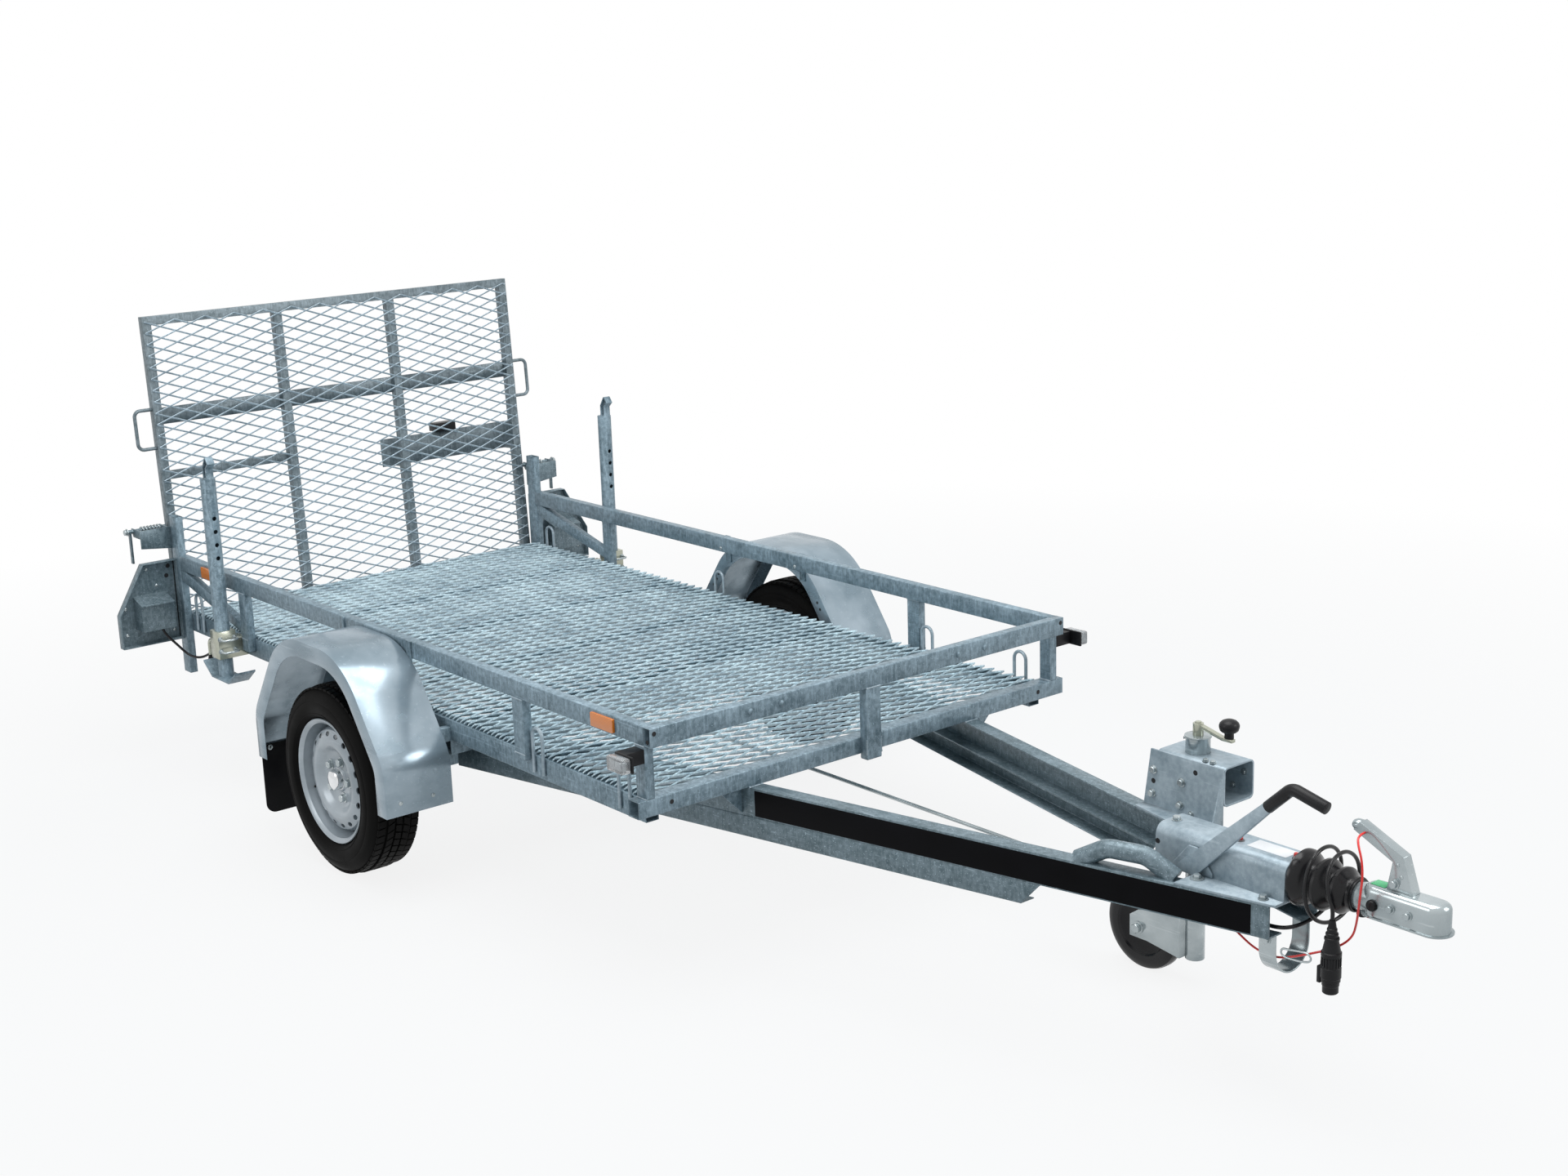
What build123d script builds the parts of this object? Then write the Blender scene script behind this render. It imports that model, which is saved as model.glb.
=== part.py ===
from build123d import *
import math
import os

os.makedirs("parts", exist_ok=True)

# Single-axle braked utility trailer, in millimetres.
# X runs forward to the coupling, Y to the left and Z up from the ground.
# The origin is on the ground under the middle of the whole trailer.

# Guard rail
front_x = 566.5
rail_length = 2715.0
rail_width = 1440.0
rail_top_z = 690.0
rail_height = 50.0
rail_depth = 30.0
tube_wall = 2.5

# Deck frame
sill_overhang = 25.0
sill_setback = 27.0
sill_size = 45.0
sill_top_z = 502.0
side_member_width = 40.0
side_member_height = 60.0
deck_frame_top_z = 485.0
cross_member_width = 40.0
cross_member_count = 5
rear_sill_depth = 50.0

# Posts
post_width = 26.0
corner_post_depth = 40.0
mid_post_width = 50.0
mid_post_drop = 12.0
side_post_depth = 50.0
side_post_setback = 595.0
side_post_foot_z = 474.0
rear_post_depth = 42.0
rear_bay = 477.0
rear_post_foot_z = 448.0
latch_post_depth = 50.0
latch_post_foot_z = 283.0
latch_post_top_z = 820.0
brace_size = 25.0
brace_end = 34.0

# Drawbar
beam_reach = 1356.0
beam_nose_y = 85.0
beam_sill_y = 403.0
beam_height = 77.0
beam_flange = 45.0
beam_wall = 4.0
beam_tail_setback = 1000.0
doubler_height = 57.0
doubler_reach = 803.0
doubler_slant = 51.0
tie_width = 60.0

# Arched tube on the right beam
arch_radius = 22.0
arch_rear_reach = 885.0
arch_front_reach = 1115.0
arch_crown_share = 0.3
arch_height = 40.0
arch_bend = 60.0
arch_drift = 15.0

# Axle and wheels
axle_setback = 1321.0
axle_z = 278.0
wheel_gap = 124.0
tyre_width = 165.0
tyre_radius = 278.0
tyre_tread_half = 58.0
tyre_belly_radius = 240.0
tyre_bead = 12.0
tyre_bead_half = 60.0
rim_radius = 182.5
rim_width = 140.0
rim_wall = 6.0
disc_sheet = 4.0
disc_edge_y = 0.0
disc_shoulder_radius = 150.0
disc_shoulder_y = 25.0
disc_crown_radius = 105.0
disc_crown_y = 29.0
disc_flat_radius = 80.0
disc_flat_y = 13.0
disc_slot_circle = 133.5
disc_slot_length = 19.0
disc_slot_width = 12.0
disc_slot_count = 16
axle_tube_size = 70.0
arm_reach = 165.0
arm_rise = 62.0
arm_width = 60.0
arm_thickness = 22.0
spindle_radius = 17.5
bearing_fit = 0.05
hub_radius = 62.0
hub_flange = 8.0
hub_core_radius = 40.0
nose_radius = 31.0
nose_reach = 38.0
nose_edge = 5.0
nose_fit = 0.5
drum_radius = 118.0
drum_width = 52.0
drum_gap = 5.0

# Mudguards
guard_setback = 19.0
guard_half = 384.0
guard_foot_z = 262.0
guard_knee_z = 405.0
guard_crown_half = 186.0
guard_top_z = 684.0
guard_knee_round = 120.0
guard_crown_round = 245.0
guard_gap = 4.0
guard_width = 210.0
guard_wall = 2.0
guard_flange = 50.0
guard_strut = 25.0
guard_strut_drop = 40.0
guard_strut_lead = 193.0
guard_stay_lead = 335.0
flap_width = 196.0
flap_height = 215.0
flap_grip = 32.0
flap_thickness = 5.0
flap_round = 30.0
flap_notch = 22.0

# Ramp
hinge_setback = 62.0
hinge_z = 414.0
ramp_lean = 3.5
ramp_side_gap = 14.0
ramp_height = 1062.0
ramp_bar = 30.0
ramp_upright_y = 219.0
ramp_plate_low = 700.0
ramp_plate_high = 756.0
ramp_plate_thickness = 3.0
hinge_pin_radius = 8.0
hinge_fit = 0.08
knuckle_radius = 14.0
knuckle_length = 60.0
hinge_lug_thickness = 8.0
hinge_gap = 5.0
hinge_y = 560.0
ramp_low_bar = 528.0
hinge_side_gap = 2.0
handle_rise = 690.0
handle_span = 130.0
handle_reach = 62.0
handle_bend = 20.0
handle_bar_radius = 6.0
holder_inner_y = 158.0
holder_side_gap = 16.0
holder_low = 430.0
holder_high = 530.0
holder_thickness = 3.0
holder_standoff = 40.0
plate_lamp_width = 80.0
plate_lamp_height = 30.0
plate_lamp_depth = 35.0

# Ramp latches
latch_z = 774.0
latch_bolt_radius = 7.0
latch_reach = 105.0
latch_top_z = 783.0
latch_low_z = 722.0
latch_root_z = 709.0
latch_sheet = 4.0
latch_ear_height = 28.0
latch_ear_margin = 12.0
latch_bolt_tail = 22.0
latch_lever_foot_z = 666.0
latch_lever_width = 14.0
latch_lever_thickness = 6.0

# Expanded mesh of the ramp
mesh_pitch_long = 64.0
mesh_pitch_short = 46.0
mesh_strand = 5.0
mesh_thickness = 2.5
mesh_layer_gap = 0.2
mesh_border = 12.0

# Expanded mesh of the deck
deck_pitch = 40.0
deck_rise = 12.0
deck_slat_share = 0.62
deck_sheet = 3.0
deck_slot_length = 330.0
deck_slots_across = 3
deck_knuckle = 40.0

# Prop stands
stand_lead = 405.0
stand_offset = 42.0
stand_radius = 24.0
stand_wall = 3.0
stand_foot_z = 357.0
stand_top_z = 1010.0
stand_foot_length = 230.0
stand_foot_flat = 120.0
stand_foot_lead = 25.0
stand_foot_width = 70.0
stand_foot_rise = 40.0
stand_foot_thickness = 6.0
stand_hole_radius = 7.0
stand_hole_drop = 127.0
stand_hole_pitch = 43.0
stand_hole_count = 4
hook_height = 74.0
hook_lead = 34.0
hook_sheet = 4.0
hook_strap = 25.0
hook_round = 5.0
clamp_side = 60.0
clamp_low_z = 425.0
clamp_high_z = 515.0
stand_clearance = 0.3
clamp_screw_radius = 6.0
clamp_screw_z = 464.0
clamp_screw_reach = 109.0
clamp_screw_drop = 96.0
clamp_screw_bend = 20.0

# Lashing rings
ring_bar_radius = 5.0
ring_bar_sides = 8
ring_half_width = 23.0
ring_foot_z = 440.0
ring_rise = 80.0
ring_front_setback = 150.0
ring_wheel_setback = 540.0
ring_guard_lead = 1130.0
ring_rear_lead = 100.0

# Light boards and lamps
board_sheet = 2.0
board_foot_z = 401.0
board_knee_z = 514.0
board_top_z = 675.0
board_width = 213.0
board_shoulder = 119.0
board_flange = 28.0
lamp_box_offset = 96.0
lamp_box_z = 512.0
lamp_box_width = 116.0
lamp_box_height = 110.0
lamp_box_depth = 65.0
lamp_lid_fall = 20.0
lamp_lid_lip = 6.0
lamp_lid_edge = 5.0
tail_lamp_depth = 28.0
tail_lamp_inset = 6.0
front_lamp_offset = 75.0
front_lamp_z = 615.0
front_lamp_width = 34.0
front_lamp_height = 42.0
front_lamp_depth = 72.0
front_lamp_round = 8.0
front_lamp_forward = 22.0
lamp_arm_height = 36.0
reflector_length = 96.0
reflector_height = 36.0
reflector_depth = 7.0
reflector_round = 3.0
reflector_front_setback = 196.0
reflector_rear_lead = 252.0
gusset_size = 72.0
gusset_thickness = 5.0

# Jockey wheel
jockey_reach = 862.0
jockey_y = 270.0
jockey_tube_radius = 30.0
jockey_leg_radius = 25.0
jockey_fit = 0.1
jockey_tube_foot_z = 335.0
jockey_tube_top_z = 642.0
jockey_cap_radius = 33.0
jockey_cap = 4.0
jockey_crown_z = 262.0
jockey_wheel_radius = 114.0
jockey_wheel_width = 46.0
jockey_trail = 154.0
jockey_fork_plate = 5.0
jockey_stroke = 55.0
jockey_crown_gap = 2.0
stem_radius = 14.0
fork_sleeve_radius = 24.0
fork_sleeve_foot_z = 72.0
fork_plate_top_z = 190.0
fork_tip = 28.0
bracket_half_width = 55.0
bracket_rear = 117.0
bracket_front = 125.0
bracket_box_setback = 38.0
bracket_low_z = 506.0
bracket_top_z = 604.0
bracket_sheet = 5.0
bracket_round = 14.0
bracket_rear_slant = 22.0
bracket_gusset = 42.0
crank_hub_radius = 13.0
crank_hub_height = 30.0
crank_arm_height = 8.0
crank_reach = 106.0
crank_fall_reach = 76.0
knob_set_in = 13.0
knob_neck = 9.0
knob_neck_height = 22.0
knob_radius = 21.0
knob_shoulder_height = 31.0
knob_crown_radius = 14.0
knob_height = 48.0

# Coupling
housing_rear_reach = 1013.0
housing_flange_reach = 1135.0
housing_front_reach = 1373.0
housing_foot_half = 58.0
housing_top_half = 54.0
housing_top_z = 548.0
housing_round = 26.0
base_plate = 6.0
shaft_z = 508.0
shaft_radius = 25.0
shaft_wall = 5.0
shaft_clearance = 0.3
bellows_folds = 3
bellows_crest_share = 0.7
bellows_rear_radius = 64.0
bellows_taper = 6.0
bellows_valley = 38.0
bellows_clearance = 2.0
bellows_length = 152.0
ball_ahead = 183.0
ball_radius = 25.3
ball_depth = 18.0
head_sleeve = 95.0
head_socket = 70.0
head_radius = 32.0
head_lip = 6.0
head_lip_sheet = 4.0
head_foot_z = 482.0
head_top_z = 548.0
head_round = 16.0

# Coupling handle
handle_width = 26.0
handle_sheet = 3.0
handle_foot_ahead = 72.0
handle_root = 64.0
handle_knee_ahead = 110.0
handle_knee_z = 626.0
handle_tip_behind = 14.0
handle_tip_z = 675.0
handle_tip_slant = 15.0
handle_tip_height = 20.0
handle_throat = 26.0
handle_throat_drop = 17.0

# Handbrake
brake_pivot_reach = 1110.0
brake_lever_y = 69.0
brake_lever_width = 12.0
brake_root = 35.0
brake_shank = 24.0
brake_grip_reach = 1335.0
brake_grip_z = 672.0
grip_straight = 84.0
grip_tip_reach = 1485.0
grip_tip_z = 708.0
grip_radius = 14.0
sector_rear_reach = 1070.0
sector_length = 112.0
sector_crown = 24.0
sector_edge = 10.0
sector_height = 61.0
loop_strap = 45.0
loop_half_width = 60.0
loop_sheet = 4.0
loop_foot_z = 279.0
brake_rod_radius = 5.0
brake_rod_z = 352.0
relay_setback = 60.0
relay_width = 8.0
relay_depth = 30.0

# Lead with its plug, and breakaway cable with its ferrule
lead_radius = 4.5
lead_anchor = 20.0
plug_radius = 22.0
plug_neck_radius = 7.0
plug_cone = 71.0
plug_length = 168.0
plug_foot_radius = 18.0
plug_foot = 20.0
cable_radius = 2.5
ferrule_radius = 5.0
ferrule_length = 30.0
run_share = 0.45

# Places worked out from the sizes above
rail_half = rail_width / 2
rail_foot_z = rail_top_z - rail_height
deck_half_width = rail_half - post_width
sill_length = rail_width + 2 * sill_overhang
sill_front_x = front_x - sill_setback
sill_rear_x = sill_front_x - sill_size
side_post_x = front_x - side_post_setback
latch_post_x = front_x - rail_length + latch_post_depth / 2
rear_post_x = latch_post_x + rear_bay
stand_x = latch_post_x + stand_lead
stand_y = rail_half + stand_offset
hinge_x = latch_post_x - hinge_setback
ramp_half_width = rail_half - ramp_side_gap
holder_outer_y = ramp_half_width - holder_side_gap
beam_nose_x = front_x + beam_reach
beam_tail_x = front_x - beam_tail_setback
doubler_nose_x = front_x + doubler_reach
beam_top_z = sill_top_z - sill_size
beam_foot_z = beam_top_z - beam_height
axle_x = front_x - axle_setback
wheel_plane_y = rail_half + wheel_gap
guard_centre_x = axle_x - guard_setback
guard_inner_y = rail_half + guard_gap
guard_outer_y = guard_inner_y + guard_width
side_member_y = deck_half_width - side_member_width
side_member_foot_z = deck_frame_top_z - side_member_height
rear_sill_x = latch_post_x - latch_post_depth / 2 + rear_sill_depth / 2
rear_sill_front_x = rear_sill_x + rear_sill_depth / 2
beam_slope = (beam_sill_y - beam_nose_y) / (beam_nose_x - sill_front_x)
post_y = rail_half - post_width / 2
deck_clear_z = deck_frame_top_z + deck_rise + deck_sheet + 2 * tube_wall
lamp_box_y = rail_half + lamp_box_offset
front_lamp_y = rail_half + front_lamp_offset
jockey_x = front_x + jockey_reach
housing_rear_x = front_x + housing_rear_reach
housing_front_x = front_x + housing_front_reach
head_rear_x = housing_front_x + bellows_length
ball_x = head_rear_x + ball_ahead
overrun = 20.0

# Routes of the two cords: the roots forward of the rail's front, the free parts forward of the housing's
# front, each row then left of the middle and above the ground
lead_root_rows = ((1316, -60, 400), (1350, -60, 400))
lead_free_rows = (
    (11, -44, 404), (29, -4, 414), (37, 48, 436), (43, 80, 484), (49, 76, 544), (54, 38, 583),
    (59, -16, 591), (64, -62, 566), (69, -84, 516), (74, -72, 464), (79, -32, 430), (84, 22, 426),
    (88, 66, 456), (92, 84, 506), (95, 68, 557), (98, 24, 588), (104, -28, 588), (113, -66, 560),
    (129, -78, 520), (132, -66, 490), (132, -66, 466),
)
cable_root_rows = ((1118, 0, 350), (1160, 0, 350), (1212, -10, 332), (1272, -24, 315))
cable_free_rows = (
    (-40, -34, 316), (15, -44, 338), (67, -50, 364), (119, -34, 388), (163, -38, 426), (187, -58, 476),
    (197, -66, 530), (200, -62, 580), (193, -58, 616), (179, -52, 641), (167, -37, 655), (167, -13, 655),
)
lead_route = [
    *((front_x + reach, y, z) for reach, y, z in lead_root_rows),
    *((housing_front_x + reach, y, z) for reach, y, z in lead_free_rows),
]
cable_route = [
    *((front_x + reach, y, z) for reach, y, z in cable_root_rows),
    *((housing_front_x + reach, y, z) for reach, y, z in cable_free_rows),
]
lead_start = lead_route[0]


def beam_outer_y(x):
    """Distance of a drawbar beam's outer face from the middle plane at x."""
    return beam_nose_y + (beam_nose_x - x) * beam_slope


def add_tube(start, end, side, width, height, wall):
    """Square-cut rectangular tube from start to end, its width along side."""
    run = Vector(*end) - Vector(*start)
    with BuildSketch(Plane(origin=start, x_dir=side, z_dir=run)) as profile:
        Rectangle(width, height)
        Rectangle(width - 2 * wall, height - 2 * wall, mode=Mode.SUBTRACT)
    extrude(profile.sketch, amount=run.length)


def save(piece, name):
    """Label a finished piece and write its file."""
    piece.label = name
    export_step(piece, f"parts/{name}.step")


# Guard rail round the deck
with BuildPart() as rail_front:
    add_tube(
        (front_x - rail_depth / 2, -rail_half, rail_top_z - rail_height / 2),
        (front_x - rail_depth / 2, rail_half, rail_top_z - rail_height / 2),
        (1, 0, 0),
        rail_depth,
        rail_height,
        tube_wall,
    )
save(rail_front.part, "rail_front")

with BuildPart() as rail_sides:
    for side in (-1, 1):
        add_tube(
            (latch_post_x + latch_post_depth / 2, side * (rail_half - rail_depth / 2),
             rail_top_z - rail_height / 2),
            (front_x - rail_depth, side * (rail_half - rail_depth / 2), rail_top_z - rail_height / 2),
            (0, 1, 0),
            rail_depth,
            rail_height,
            tube_wall,
        )
save(rail_sides.part, "rail_sides")

# Posts under the rail, each row: centre x, depth along x, foot z, top z
side_post_rows = (
    (sill_front_x - corner_post_depth / 2, corner_post_depth, sill_top_z, rail_foot_z),
    (side_post_x, side_post_depth, side_post_foot_z, rail_foot_z),
    (rear_post_x, rear_post_depth, rear_post_foot_z, rail_foot_z),
)
with BuildPart() as rail_posts:
    for x, depth, foot_z, top_z in side_post_rows:
        for side in (-1, 1):
            add_tube(
                (x, side * post_y, foot_z), (x, side * post_y, top_z),
                (1, 0, 0), depth, post_width, tube_wall,
            )
    add_tube(
        (front_x - sill_setback / 2, 0, beam_top_z - mid_post_drop),
        (front_x - sill_setback / 2, 0, rail_foot_z),
        (1, 0, 0), sill_setback, mid_post_width, tube_wall,
    )
save(rail_posts.part, "rail_posts")

with BuildPart() as latch_posts:
    for side in (-1, 1):
        add_tube(
            (latch_post_x, side * post_y, latch_post_foot_z),
            (latch_post_x, side * post_y, latch_post_top_z),
            (1, 0, 0), latch_post_depth, post_width, tube_wall,
        )
save(latch_posts.part, "latch_posts")

brace_front_x = rear_post_x - rear_post_depth / 2
brace_rear_x = latch_post_x + latch_post_depth / 2
with BuildPart() as rear_braces:
    for side in (-1, 1):
        with BuildSketch(Plane.XZ.offset(brace_size / 2 - side * post_y)) as brace:
            with BuildLine():
                Polyline(
                    (brace_rear_x, rail_foot_z),
                    (brace_rear_x + brace_end, rail_foot_z),
                    (brace_front_x, deck_clear_z + brace_end),
                    (brace_front_x, deck_clear_z),
                    (brace_rear_x, rail_foot_z - brace_end),
                    close=True,
                )
            make_face()
        extrude(brace.sketch, amount=-brace_size)
save(rear_braces.part, "rear_braces")

# Deck frame
with BuildPart() as front_sill:
    add_tube(
        (sill_front_x - sill_size / 2, -sill_length / 2, sill_top_z - sill_size / 2),
        (sill_front_x - sill_size / 2, sill_length / 2, sill_top_z - sill_size / 2),
        (1, 0, 0), sill_size, sill_size, tube_wall,
    )
save(front_sill.part, "front_sill")

with BuildPart() as rear_sill:
    add_tube(
        (rear_sill_x, -deck_half_width, deck_frame_top_z - side_member_height / 2),
        (rear_sill_x, deck_half_width, deck_frame_top_z - side_member_height / 2),
        (1, 0, 0), rear_sill_depth, side_member_height, tube_wall,
    )
save(rear_sill.part, "rear_sill")

with BuildPart() as side_members:
    for side in (-1, 1):
        y = side * (deck_half_width - side_member_width / 2)
        add_tube(
            (rear_sill_front_x, y, deck_frame_top_z - side_member_height / 2),
            (sill_rear_x, y, deck_frame_top_z - side_member_height / 2),
            (0, 1, 0), side_member_width, side_member_height, tube_wall,
        )
save(side_members.part, "side_members")

cross_member_height = deck_frame_top_z - beam_top_z
cross_bay = (sill_rear_x - rear_sill_front_x) / (cross_member_count + 1)
with BuildPart() as cross_members:
    for place in range(cross_member_count):
        x = sill_rear_x - (place + 1) * cross_bay
        add_tube(
            (x, -side_member_y, beam_top_z + cross_member_height / 2),
            (x, side_member_y, beam_top_z + cross_member_height / 2),
            (1, 0, 0), cross_member_width, cross_member_height, tube_wall,
        )
    # Heavy tie under the side members, which the drawbar beams run up to
    tie_height = side_member_foot_z - beam_foot_z
    add_tube(
        (beam_tail_x - tie_width / 2, -deck_half_width, beam_foot_z + tie_height / 2),
        (beam_tail_x - tie_width / 2, deck_half_width, beam_foot_z + tie_height / 2),
        (1, 0, 0), tie_width, tie_height, tube_wall,
    )
save(cross_members.part, "cross_members")

# Deck mesh: strands that rise as tilted slats, with slots in the webs between them
deck_length = sill_rear_x - rear_sill_front_x + rear_sill_depth / 2
deck_rows = int(deck_length // deck_pitch)
deck_rear_x = sill_rear_x - deck_rows * deck_pitch
deck_mesh_half = deck_half_width - deck_sheet * 2
slat_run = deck_pitch * deck_slat_share
with BuildPart() as deck_mesh:
    with BuildSketch(Plane.XZ.offset(-deck_mesh_half)):
        with BuildLine():
            top = []
            for row in range(deck_rows):
                top.append((deck_rear_x + row * deck_pitch, deck_frame_top_z + deck_sheet))
                top.append((deck_rear_x + row * deck_pitch + slat_run, deck_frame_top_z + deck_rise + deck_sheet))
            top.append((sill_rear_x, deck_frame_top_z + deck_sheet))
            under = [(x, z - deck_sheet) for x, z in reversed(top)]
            Polyline(*top, *under, close=True)
        make_face()
    extrude(amount=2 * deck_mesh_half)
    slot_pitch = deck_slot_length + deck_knuckle
    for parity in (0, 1):
        places = [
            (deck_rear_x + row * deck_pitch + (slat_run + deck_pitch) / 2, (place - 1 + parity / 2) * slot_pitch)
            for row in range(parity, deck_rows, 2)
            for place in range(deck_slots_across)
        ]
        with BuildSketch(Plane.XY.offset(deck_frame_top_z)):
            with Locations(*places):
                Rectangle(deck_pitch - slat_run - deck_sheet * 2, deck_slot_length)
        extrude(amount=deck_rise * 2, both=True, mode=Mode.SUBTRACT)
save(deck_mesh.part, "deck_mesh")

# Bent tube that arches along the top of the right beam
arch_rear_x = front_x + arch_rear_reach
arch_front_x = front_x + arch_front_reach
arch_rise_run = (arch_front_x - arch_rear_x) * arch_crown_share


def arch_y(x):
    """Place of the arched tube's middle line across the right beam at x."""
    share = (x - arch_rear_x) / (arch_front_x - arch_rear_x)
    return -(beam_outer_y(x) - arch_radius - share * arch_drift)


with BuildPart() as arch_tube:
    with BuildLine() as bend:
        FilletPolyline(
            (arch_rear_x, arch_y(arch_rear_x), beam_top_z),
            (arch_rear_x + arch_rise_run, arch_y(arch_rear_x + arch_rise_run), beam_top_z + arch_height),
            (arch_front_x - arch_rise_run, arch_y(arch_front_x - arch_rise_run), beam_top_z + arch_height),
            (arch_front_x, arch_y(arch_front_x), beam_top_z),
            radius=arch_bend,
        )
    with BuildSketch(Plane(origin=bend.line @ 0, z_dir=bend.line % 0)) as section:
        Circle(arch_radius)
    sweep(section.sketch, path=bend.line)
    split(bisect_by=Plane.XY.offset(beam_top_z), keep=Keep.TOP)

# Drawbar: two channels that meet at the nose, with a doubler under each
with BuildPart() as drawbar_beams:
    for side in (-1, 1):
        tail_y = beam_outer_y(beam_tail_x)
        with BuildSketch(Plane.XY.offset(beam_foot_z)) as plan:
            with BuildLine():
                Polyline(
                    (beam_tail_x, side * tail_y),
                    (beam_nose_x, side * beam_nose_y),
                    (beam_nose_x, side * (beam_nose_y - beam_flange)),
                    (beam_tail_x, side * (tail_y - beam_flange)),
                    close=True,
                )
            make_face()
        extrude(plan.sketch, amount=beam_height)
        with BuildSketch(Plane.XY.offset(beam_foot_z + beam_wall)) as inside:
            with BuildLine():
                Polyline(
                    (beam_tail_x - overrun, side * (tail_y - beam_wall + overrun * beam_slope)),
                    (beam_nose_x + overrun, side * (beam_nose_y - beam_wall - overrun * beam_slope)),
                    (beam_nose_x + overrun, side * (beam_nose_y - beam_flange - overrun)),
                    (beam_tail_x - overrun, side * (tail_y - beam_flange - overrun)),
                    close=True,
                )
            make_face()
        extrude(inside.sketch, amount=beam_height - 2 * beam_wall, mode=Mode.SUBTRACT)
    add(arch_tube.part)
    # Block inside the right channel that holds the lead
    with BuildSketch(Plane.XY.offset(lead_start[2] - lead_anchor / 2)) as anchor:
        with Locations((lead_start[0], lead_start[1] + lead_anchor / 2)):
            Rectangle(
                lead_anchor, beam_outer_y(lead_start[0]) + lead_start[1] + lead_anchor / 2 - beam_wall / 2,
                align=(Align.MAX, Align.MAX),
            )
    extrude(anchor.sketch, amount=lead_anchor)
save(drawbar_beams.part, "drawbar_beams")

doubler_foot_z = beam_foot_z - doubler_height
with BuildPart() as drawbar_doublers:
    for side in (-1, 1):
        rear_x = beam_tail_x - tie_width
        nose_y = beam_outer_y(doubler_nose_x)
        rear_y = beam_outer_y(rear_x)
        with BuildSketch(Plane.XY.offset(doubler_foot_z)) as plan:
            with BuildLine():
                Polyline(
                    (rear_x, side * rear_y),
                    (doubler_nose_x, side * nose_y),
                    (doubler_nose_x, side * (nose_y - beam_flange)),
                    (rear_x, side * (rear_y - beam_flange)),
                    close=True,
                )
            make_face()
        extrude(plan.sketch, amount=doubler_height)
        with BuildSketch(Plane.XY.offset(doubler_foot_z + beam_wall)) as inside:
            with BuildLine():
                Polyline(
                    (rear_x - overrun, side * (rear_y - beam_wall + overrun * beam_slope)),
                    (doubler_nose_x + overrun, side * (nose_y - beam_wall - overrun * beam_slope)),
                    (doubler_nose_x + overrun, side * (nose_y - beam_flange - overrun)),
                    (rear_x - overrun, side * (rear_y - beam_flange - overrun)),
                    close=True,
                )
            make_face()
        extrude(inside.sketch, amount=doubler_height - 2 * beam_wall, mode=Mode.SUBTRACT)
    with BuildSketch(Plane.XZ.offset(-rail_half)) as slant:
        with BuildLine():
            Polyline(
                (doubler_nose_x - doubler_slant, doubler_foot_z - overrun),
                (doubler_nose_x - doubler_slant, doubler_foot_z),
                (doubler_nose_x, beam_foot_z),
                (doubler_nose_x + overrun, beam_foot_z),
                (doubler_nose_x + overrun, doubler_foot_z - overrun),
                close=True,
            )
        make_face()
    extrude(slant.sketch, amount=rail_width, mode=Mode.SUBTRACT)
save(drawbar_doublers.part, "drawbar_doublers")

# Axle beam with its saddles, trailing arms and brake plates
axle_tube_x = axle_x + arm_reach
axle_tube_z = axle_z + arm_rise
with BuildPart() as axle_beam:
    add_tube(
        (axle_tube_x, -deck_half_width, axle_tube_z), (axle_tube_x, deck_half_width, axle_tube_z),
        (1, 0, 0), axle_tube_size, axle_tube_size, tube_wall * 2,
    )
    saddle_height = side_member_foot_z - axle_tube_z - axle_tube_size / 2
    for side in (-1, 1):
        with BuildSketch(Plane.XY.offset(axle_tube_z + axle_tube_size / 2)) as saddle:
            with Locations((axle_tube_x, side * (side_member_y + side_member_width / 2))):
                Rectangle(axle_tube_size, side_member_width)
        extrude(saddle.sketch, amount=saddle_height)
save(axle_beam.part, "axle_beam")

arm_y = deck_half_width + arm_thickness / 2
with BuildPart() as trailing_arms:
    for side in (-1, 1):
        near = side * deck_half_width
        with BuildSketch(Plane.XZ.offset(-near)) as arm:
            with Locations((axle_tube_x, axle_tube_z), (axle_x, axle_z)):
                Circle(arm_width / 2)
            make_hull()
        extrude(arm.sketch, amount=-side * arm_thickness)
        with BuildSketch(Plane.XZ.offset(-near - side * arm_thickness)) as spindle:
            with Locations((axle_x, axle_z)):
                Circle(spindle_radius)
        extrude(spindle.sketch, amount=-side * (wheel_plane_y - deck_half_width - arm_thickness))
        plate_y = wheel_plane_y - drum_width - drum_gap - beam_wall
        with BuildSketch(Plane.XZ.offset(-side * plate_y)) as plate:
            with Locations((axle_x, axle_z)):
                Circle(drum_radius)
        extrude(plate.sketch, amount=-side * beam_wall)
save(trailing_arms.part, "trailing_arms")

# Wheels: tyre, rim with its pressed disc, and hub with its brake drum


def turn(section_plane, axis, points):
    """Ring turned about axis from a closed outline of (radius, offset along the axis) points."""
    with BuildSketch(section_plane) as section:
        with BuildLine():
            Polyline(*points, close=True)
        make_face()
    revolve(section.sketch, axis=axis)


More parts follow.
